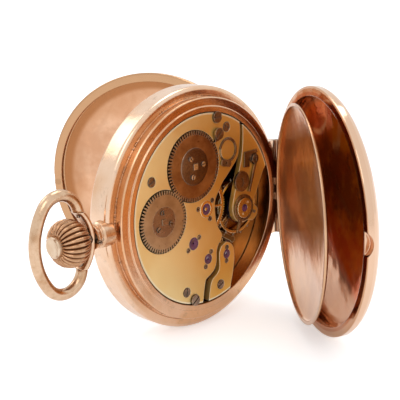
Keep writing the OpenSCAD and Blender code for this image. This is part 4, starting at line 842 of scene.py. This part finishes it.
def finish(metal: Metal) -> bpy.types.Material:
    """Material of a finish, built once."""
    if metal not in MADE:
        MADE[metal] = metal.value.material()
    return MADE[metal]


def dress_nodes() -> None:
    """Gives every CAD node its finish, and the dark steel to those that are not named."""
    finish_of = {name: metal for metal, names in DRESS.items() for name in names}
    for name, node in frame["nodes"].items():
        made = finish(finish_of.get(name, Metal.STEEL))
        node.data.materials.clear()
        node.data.materials.append(made)
        LOG.info("node %s in %s", name, made.name)


# ---- pieces of the scene's own


Outline = list[tuple[float, float]]


def dial_direction(turn: float) -> tuple[Vector, Vector]:
    """Directions on the dial at an angle from twelve o'clock.

    Args:
        turn: Angle in degrees, clockwise for one who reads the dial.

    Returns:
        The direction to the right of one who reads upright along the radius, and the one outward.
    """
    a = math.radians(turn)
    return Vector((-math.cos(a), 0, -math.sin(a))), Vector((-math.sin(a), 0, math.cos(a)))


def placed(name: str, data: bpy.types.ID) -> bpy.types.Object:
    """New object of the scene, at the origin."""
    made = bpy.data.objects.new(name, data)
    bpy.context.scene.collection.objects.link(made)
    return made


def finished_piece(name: str, mesh: bpy.types.Mesh, metal: Metal, body: str) -> None:
    """Makes an object at the origin of a finished mesh, and gives it its body.

    Args:
        name: The piece's name.
        mesh: Its mesh, in metres, with its place in it.
        metal: Its finish.
        body: The body that it rides on.
    """
    mesh.name = name
    piece = placed(name, mesh)
    mesh.materials.clear()
    mesh.materials.append(finish(metal))
    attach(piece, body)
    LOG.info("piece %s rides on %s with %d faces", name, body, len(mesh.polygons))


def add_prism(made: bmesh.types.BMesh, outline: list[Vector], depth: Vector) -> None:
    """Adds a closed prism to a mesh in the making.

    Args:
        made: The mesh in the making.
        outline: Corners of one face, in metres.
        depth: From that face to the other, in metres.
    """
    low = [made.verts.new(p) for p in outline]
    high = [made.verts.new(p + depth) for p in outline]
    made.faces.new(low)
    made.faces.new(list(reversed(high)))
    for i, corner in enumerate(low):
        j = (i + 1) % len(low)
        made.faces.new((corner, high[i], high[j], low[j]))


def closed_mesh(made: bmesh.types.BMesh) -> bpy.types.Mesh:
    """Turns a mesh in the making into a mesh whose faces point outwards."""
    bmesh.ops.recalc_face_normals(made, faces=made.faces)
    mesh = bpy.data.meshes.new("print")
    made.to_mesh(mesh)
    made.free()
    return mesh


@dataclass
class RingPattern:
    """Copies of one small shape set round a circle on the dial by a Geometry Nodes tree."""

    name: str
    count: int
    radius: float
    shape: bpy.types.Mesh
    centre: Vector

    def tree(self) -> bpy.types.GeometryNodeTree:
        """Builds the tree, with named inputs for its sizes, its centre and its finish.

        Returns:
            The tree.
        """
        tree = bpy.data.node_groups.new(self.name, "GeometryNodeTree")
        for label, kind in (("Geometry", "Geometry"), ("Count", "Int"), ("Radius", "Float"),
                            ("Centre", "Vector"), ("Finish", "Material")):
            tree.interface.new_socket(label, in_out="INPUT", socket_type="NodeSocket" + kind)
        tree.interface.new_socket("Geometry", in_out="OUTPUT", socket_type="NodeSocketGeometry")

        def add(kind: str, **values: Any) -> Socket:
            """Adds a Geometry node and gives its first output."""
            return add_node(tree, "GeometryNode" + kind, None, values).outputs[0]

        def maths(operation: str, *values: Any) -> Socket:
            """Adds a Math node and gives its result."""
            settings = {"operation": operation}
            return add_node(tree, "ShaderNodeMath", settings, dict(enumerate(values))).outputs[0]

        given = add_node(tree, "NodeGroupInput").outputs
        turn = maths("MULTIPLY", add("InputIndex"), maths("DIVIDE", 2 * math.pi, given["Count"]))
        reach = {axis: maths("MULTIPLY", maths("MULTIPLY", maths(wave, turn), sign), given["Radius"])
                 for axis, wave, sign in ((0, "SINE", -1.0), (2, "COSINE", 1.0))}
        circle = add_node(tree, "ShaderNodeCombineXYZ", None, reach).outputs[0]
        place = add_node(tree, "ShaderNodeVectorMath", {"operation": "ADD"},
                         {0: circle, 1: given["Centre"]}).outputs[0]
        back = {1: maths("MULTIPLY", turn, -1.0)}
        facing = add_node(tree, "ShaderNodeCombineXYZ", None, back).outputs[0]
        points = add("Points", Count=given["Count"], Position=place)
        copies = add("InstanceOnPoints", Points=points, Instance=given["Geometry"], Rotation=facing)
        real = add("RealizeInstances", Geometry=copies)
        dressed = add("SetMaterial", Geometry=real, Material=given["Finish"])
        add_node(tree, "NodeGroupOutput", None, {0: dressed})
        return tree

    def mesh(self, metal: Metal) -> bpy.types.Mesh:
        """Runs the tree on the shape and keeps the result as a plain mesh.

        Args:
            metal: The finish of the copies.

        Returns:
            The mesh of all the copies, in metres.
        """
        carrier = placed(self.name + "_maker", self.shape)
        modifier = carrier.modifiers.new("ring", "NODES")
        modifier.node_group = self.tree()
        sockets = {item.name: item.identifier for item in modifier.node_group.interface.items_tree
                   if item.in_out == "INPUT"}
        given = {"Count": self.count, "Radius": self.radius * MM, "Centre": tuple(self.centre),
                 "Finish": finish(metal)}
        for label, value in given.items():
            modifier[sockets[label]] = value
        evaluated = carrier.evaluated_get(bpy.context.evaluated_depsgraph_get())
        mesh = bpy.data.meshes.new_from_object(evaluated)
        carrier.modifiers.clear()
        bpy.data.objects.remove(carrier)
        return mesh


@dataclass
class DialPrint:
    """Print of the dial: hour numerals, minute track, seconds track and the lines between."""

    numeral_height: float = 3.3
    numeral_foot: float = 14.9
    track_inner: float = 19.0
    track_outer: float = 19.9
    minute_width: float = 0.1
    five_width: float = 0.34
    second_width: float = 0.06
    line_width: float = 0.07
    seconds_line_width: float = 0.05
    ink_depth: float = 0.015
    seconds_inner: float = 3.35
    seconds_outer: float = 3.95
    digit_size: float = 1.2825
    digit_radius: float = 2.5
    sunk: float = 0.12
    serif: float = 0.045
    letter_gap: float = 0.07

    def stroke_outlines(self, letter: str) -> tuple[float, list[Outline]]:
        """Strokes of one letter, with height 1 and its left edge at 0.

        Args:
            letter: I, V or X.

        Returns:
            The letter's width and the outlines of its strokes.
        """
        def block(left: float, right: float, low: float, high: float) -> Outline:
            """Upright rectangle."""
            return [(left, low), (right, low), (right, high), (left, high)]

        foot, head = (0, self.serif), (1 - self.serif, 1)
        if letter == "I":
            return 0.26, [block(0.055, 0.205, 0, 1), block(0, 0.26, *foot), block(0, 0.26, *head)]
        if letter == "V":
            return 0.74, [[(0.06, 1), (0.36, 0), (0.46, 0), (0.25, 1)],
                          [(0.6, 1), (0.37, 0), (0.42, 0), (0.65, 1)],
                          block(0, 0.32, *head), block(0.52, 0.74, *head)]
        return 0.76, [[(0.05, 1), (0.5, 0), (0.71, 0), (0.25, 1)],
                      [(0.62, 1), (0.08, 0), (0.14, 0), (0.68, 1)],
                      block(0, 0.31, *head), block(0.52, 0.76, *head),
                      block(0, 0.22, *foot), block(0.46, 0.76, *foot)]

    def on_dial(self, centre: Vector, turn: float, across: float, along: float) -> Vector:
        """Point on the dial's face.

        Args:
            centre: The middle that angles and radii start from, in metres.
            turn: Angle from twelve o'clock, in degrees.
            across: Distance to the right of the radius, in millimetres.
            along: Distance along the radius, in millimetres.

        Returns:
            The point, in metres.
        """
        right, out = dial_direction(turn)
        return centre + (right * across + out * along) * MM

    def numerals(self, face: Vector) -> bpy.types.Mesh:
        """Builds the hour numerals, all but the one that the seconds dial takes the place of.

        Args:
            face: Middle of the dial's front face.

        Returns:
            The mesh.
        """
        made = bmesh.new()
        names = ("XII", "I", "II", "III", "IIII", "V", "", "VII", "VIII", "IX", "X", "XI")
        for hour, word in enumerate(names):
            letters = [self.stroke_outlines(letter) for letter in word]
            width = sum(w for w, _ in letters) + self.letter_gap * (len(letters) - 1)
            left = -width / 2
            for w, strokes in letters:
                for outline in strokes:
                    corners = [self.on_dial(face, hour * 30, (left + u) * self.numeral_height,
                                            self.numeral_foot + v * self.numeral_height)
                               for u, v in outline]
                    add_prism(made, corners, Vector((0, self.ink_depth * MM, 0)))
                left += w + self.letter_gap
        return closed_mesh(made)

    def ring_line(self, made: bmesh.types.BMesh, centre: Vector, radius: float, width: float) -> None:
        """Adds a thin printed circle.

        Args:
            made: The mesh in the making.
            centre: Middle of the circle, on the dial's face.
            radius: Its radius, in millimetres.
            width: Width of its line, in millimetres.
        """
        steps = 120
        inner, outer, top = radius, radius + width, self.ink_depth
        rings = []
        for r, y in ((inner, 0), (outer, 0), (outer, top), (inner, top)):
            lift = Vector((0, y * MM, 0))
            rings.append([made.verts.new(self.on_dial(centre, 360 * i / steps, 0, r) + lift)
                          for i in range(steps)])
        for near, far in zip(rings, rings[1:] + rings[:1]):
            for i in range(steps):
                j = (i + 1) % steps
                made.faces.new((near[i], near[j], far[j], far[i]))

    def bar(self, width: float, length: float) -> bpy.types.Mesh:
        """Builds one mark of a track, about the origin and pointing up.

        Args:
            width: Width of the mark, in millimetres.
            length: Its length, in millimetres.

        Returns:
            The mesh.
        """
        made = bmesh.new()
        w, h = width * MM / 2, length * MM / 2
        corners = [Vector((x, 0, z)) for x, z in ((-w, -h), (w, -h), (w, h), (-w, h))]
        add_prism(made, corners, Vector((0, self.ink_depth * MM, 0)))
        return closed_mesh(made)

    def digits(self, centre: Vector) -> bpy.types.Mesh:
        """Builds the small numbers of the seconds dial.

        Args:
            centre: Middle of the seconds dial, on its face.

        Returns:
            The mesh.
        """
        made = bmesh.new()
        right, up = dial_direction(0)
        for seconds in (60, 10, 20, 30, 40, 50):
            data = bpy.data.curves.new(f"digits_{seconds}", "FONT")
            data.body = str(seconds)
            data.align_x, data.align_y = "CENTER", "CENTER"
            data.size = self.digit_size
            data.extrude = self.ink_depth / 2
            data.resolution_u = 3
            word = placed(f"digits_{seconds}", data)
            bpy.context.view_layer.update()
            evaluated = word.evaluated_get(bpy.context.evaluated_depsgraph_get())
            flat = bpy.data.meshes.new_from_object(evaluated)
            middle = self.on_dial(centre, seconds * 6.0, 0, self.digit_radius)
            for vertex in flat.vertices:
                u, v, w = vertex.co
                depth = Vector((0, (self.ink_depth / 2 + w) * MM, 0))
                vertex.co = middle + (right * u + up * v) * MM + depth
            made.from_mesh(flat)
            bpy.data.objects.remove(word)
            bpy.data.meshes.remove(flat)
        bmesh.ops.remove_doubles(made, verts=made.verts, dist=1e-8)
        return closed_mesh(made)

    def build(self) -> None:
        """Builds every print on the dial."""
        face = Vector((CENTRE.x, DIAL_FRONT, CENTRE.z))
        fourth = joint_point("seconds_turn")
        small = Vector((fourth.x, DIAL_FRONT - self.sunk * MM, fourth.z))
        hours = (face, self.track_inner, self.track_outer)
        seconds = (small, self.seconds_inner, self.seconds_outer)
        prints = {"dial_hour_numerals": self.numerals(face)}
        for name, count, width, (centre, inner, outer) in (
                ("dial_minute_track", 60, self.minute_width, hours),
                ("dial_five_minute_marks", 12, self.five_width, hours),
                ("dial_seconds_track", 60, self.second_width, seconds)):
            mark = self.bar(width, outer - inner)
            ring = RingPattern(name, count, (inner + outer) / 2, mark, centre)
            prints[name] = ring.mesh(Metal.INK)
        lines = bmesh.new()
        self.ring_line(lines, face, self.track_inner, self.line_width)
        self.ring_line(lines, face, self.track_outer, self.line_width)
        self.ring_line(lines, small, self.seconds_outer, self.seconds_line_width)
        prints["dial_track_lines"] = closed_mesh(lines)
        prints["dial_seconds_digits"] = self.digits(small)
        for name, mesh in prints.items():
            finished_piece(name, mesh, Metal.INK, "case")


# ---- studio


@dataclass
class Studio:
    """White surroundings, pale floor, soft lamps and the camera."""

    azimuth: float = -45.275
    elevation: float = 14.1
    roll: float = -2.23
    sensor: float = 36
    lens: float = 86.8
    distance: float = 208.91
    aim: tuple[float, float, float] = (-1.149, -1.365, 2.201)
    surround: Colour = (0.86, 0.86, 0.88)
    floor_half: float = 3.0
    floor_grey: Colour = (0.85, 0.85, 0.85)
    floor_glow: float = 0.45
    floor_mirrored: float = 0.55

    def camera(self) -> None:
        """Places the camera, aimed at a point given in millimetres from the watch's middle."""
        a, e, r = (math.radians(v) for v in (self.azimuth, self.elevation, self.roll))
        back = Vector((math.sin(a) * math.cos(e), -math.cos(a) * math.cos(e), math.sin(e)))
        right = Vector((math.cos(a), math.sin(a), 0))
        up = back.cross(right)
        turned = right * math.cos(r) + up * math.sin(r)
        over = up * math.cos(r) - right * math.sin(r)
        data = bpy.data.cameras.new("camera")
        data.sensor_width, data.lens = self.sensor, self.lens
        data.clip_start, data.clip_end = 0.01, 20
        camera = placed("camera", data)
        turn = Matrix((turned, over, back)).transposed().to_4x4()
        where = CENTRE + Vector(self.aim) * MM + back * self.distance * MM
        camera.matrix_world = Matrix.Translation(where) @ turn
        bpy.context.scene.camera = camera

    def lamp(self, name: str, place: tuple[float, float, float], size: float, watts: float) -> None:
        """Adds a soft square lamp that faces the watch.

        Args:
            name: The lamp's name.
            place: Where it hangs, in metres from the watch's middle.
            size: Length of its side, in metres.
            watts: Its power.
        """
        data = bpy.data.lights.new(name, "AREA")
        data.size, data.energy = size, watts
        lamp = placed(name, data)
        lamp.location = CENTRE + Vector(place)
        lamp.rotation_euler = (-Vector(place)).to_track_quat("-Z", "Y").to_euler()

    def world(self) -> None:
        """White for the camera, for reflections and through glass, and a plain level of light."""
        world = bpy.data.worlds.new("studio")
        bpy.context.scene.world = world
        world.use_nodes = True
        tree = world.node_tree
        tree.nodes.clear()
        tone = add_node(tree, "ShaderNodeMix", {"data_type": "RGBA"},
                        {0: self.seen(tree), 6: rgba(self.surround), 7: rgba(WHITE)}).outputs[2]
        background = add_node(tree, "ShaderNodeBackground", None, {0: tone, 1: 1.0})
        add_node(tree, "ShaderNodeOutputWorld", None, {0: background.outputs[0]})

    def seen(self, tree: bpy.types.NodeTree, mirrored: float = 1.0) -> Socket:
        """Adds nodes that are 1 for camera rays, and 0 for all but glossy and transmission rays.

        Args:
            tree: The tree to add them to.
            mirrored: The value for glossy and transmission rays.

        Returns:
            The socket with that value.
        """
        path = add_node(tree, "ShaderNodeLightPath").outputs
        value = path["Is Camera Ray"]
        for other in ("Is Glossy Ray", "Is Transmission Ray"):
            value = add_node(tree, "ShaderNodeMath", {"operation": "MULTIPLY_ADD", "use_clamp": True},
                             {0: path[other], 1: mirrored, 2: value}).outputs[0]
        return value

    def floor(self) -> None:
        """Lays the pale floor that the watch stands on."""
        mesh = bpy.data.meshes.new("floor")
        h = self.floor_half
        mesh.from_pydata([(-h, -h, 0), (h, -h, 0), (h, h, 0), (-h, h, 0)], [], [(0, 1, 2, 3)])
        floor = placed("floor", mesh)
        s = Shader("floor_white")
        diffuse = s.node("BsdfDiffuse", None, {0: rgba(self.floor_grey)}).outputs[0]
        glow = s.node("Emission", None, {0: rgba(WHITE), 1: self.floor_glow}).outputs[0]
        both = s.node("AddShader", None, {0: diffuse, 1: glow}).outputs[0]
        share = self.seen(s.tree, self.floor_mirrored)
        mix = s.node("MixShader", None, {0: share, 1: diffuse, 2: both}).outputs[0]
        s.node("OutputMaterial", None, {0: mix})
        mesh.materials.append(s.material)

    def build(self) -> None:
        """Sets up everything that is not the watch."""
        self.camera()
        self.world()
        self.floor()
        self.lamp("key", (-0.42, -0.4, 0.65), 0.4, 0.9)
        self.lamp("rim", (-0.15, 0.55, 0.55), 0.35, 0.6)
        self.lamp("top", (0.25, 0.12, 0.65), 0.3, 0.9)
        bpy.context.scene.view_settings.view_transform = "Standard"


def main() -> None:
    """Builds the studio and dresses the watch."""
    logging.basicConfig(level=logging.INFO, format="%(name)s: %(message)s")
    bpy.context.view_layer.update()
    Studio().build()
    dress_nodes()
    DialPrint().build()


if __name__ == "__main__":
    main()
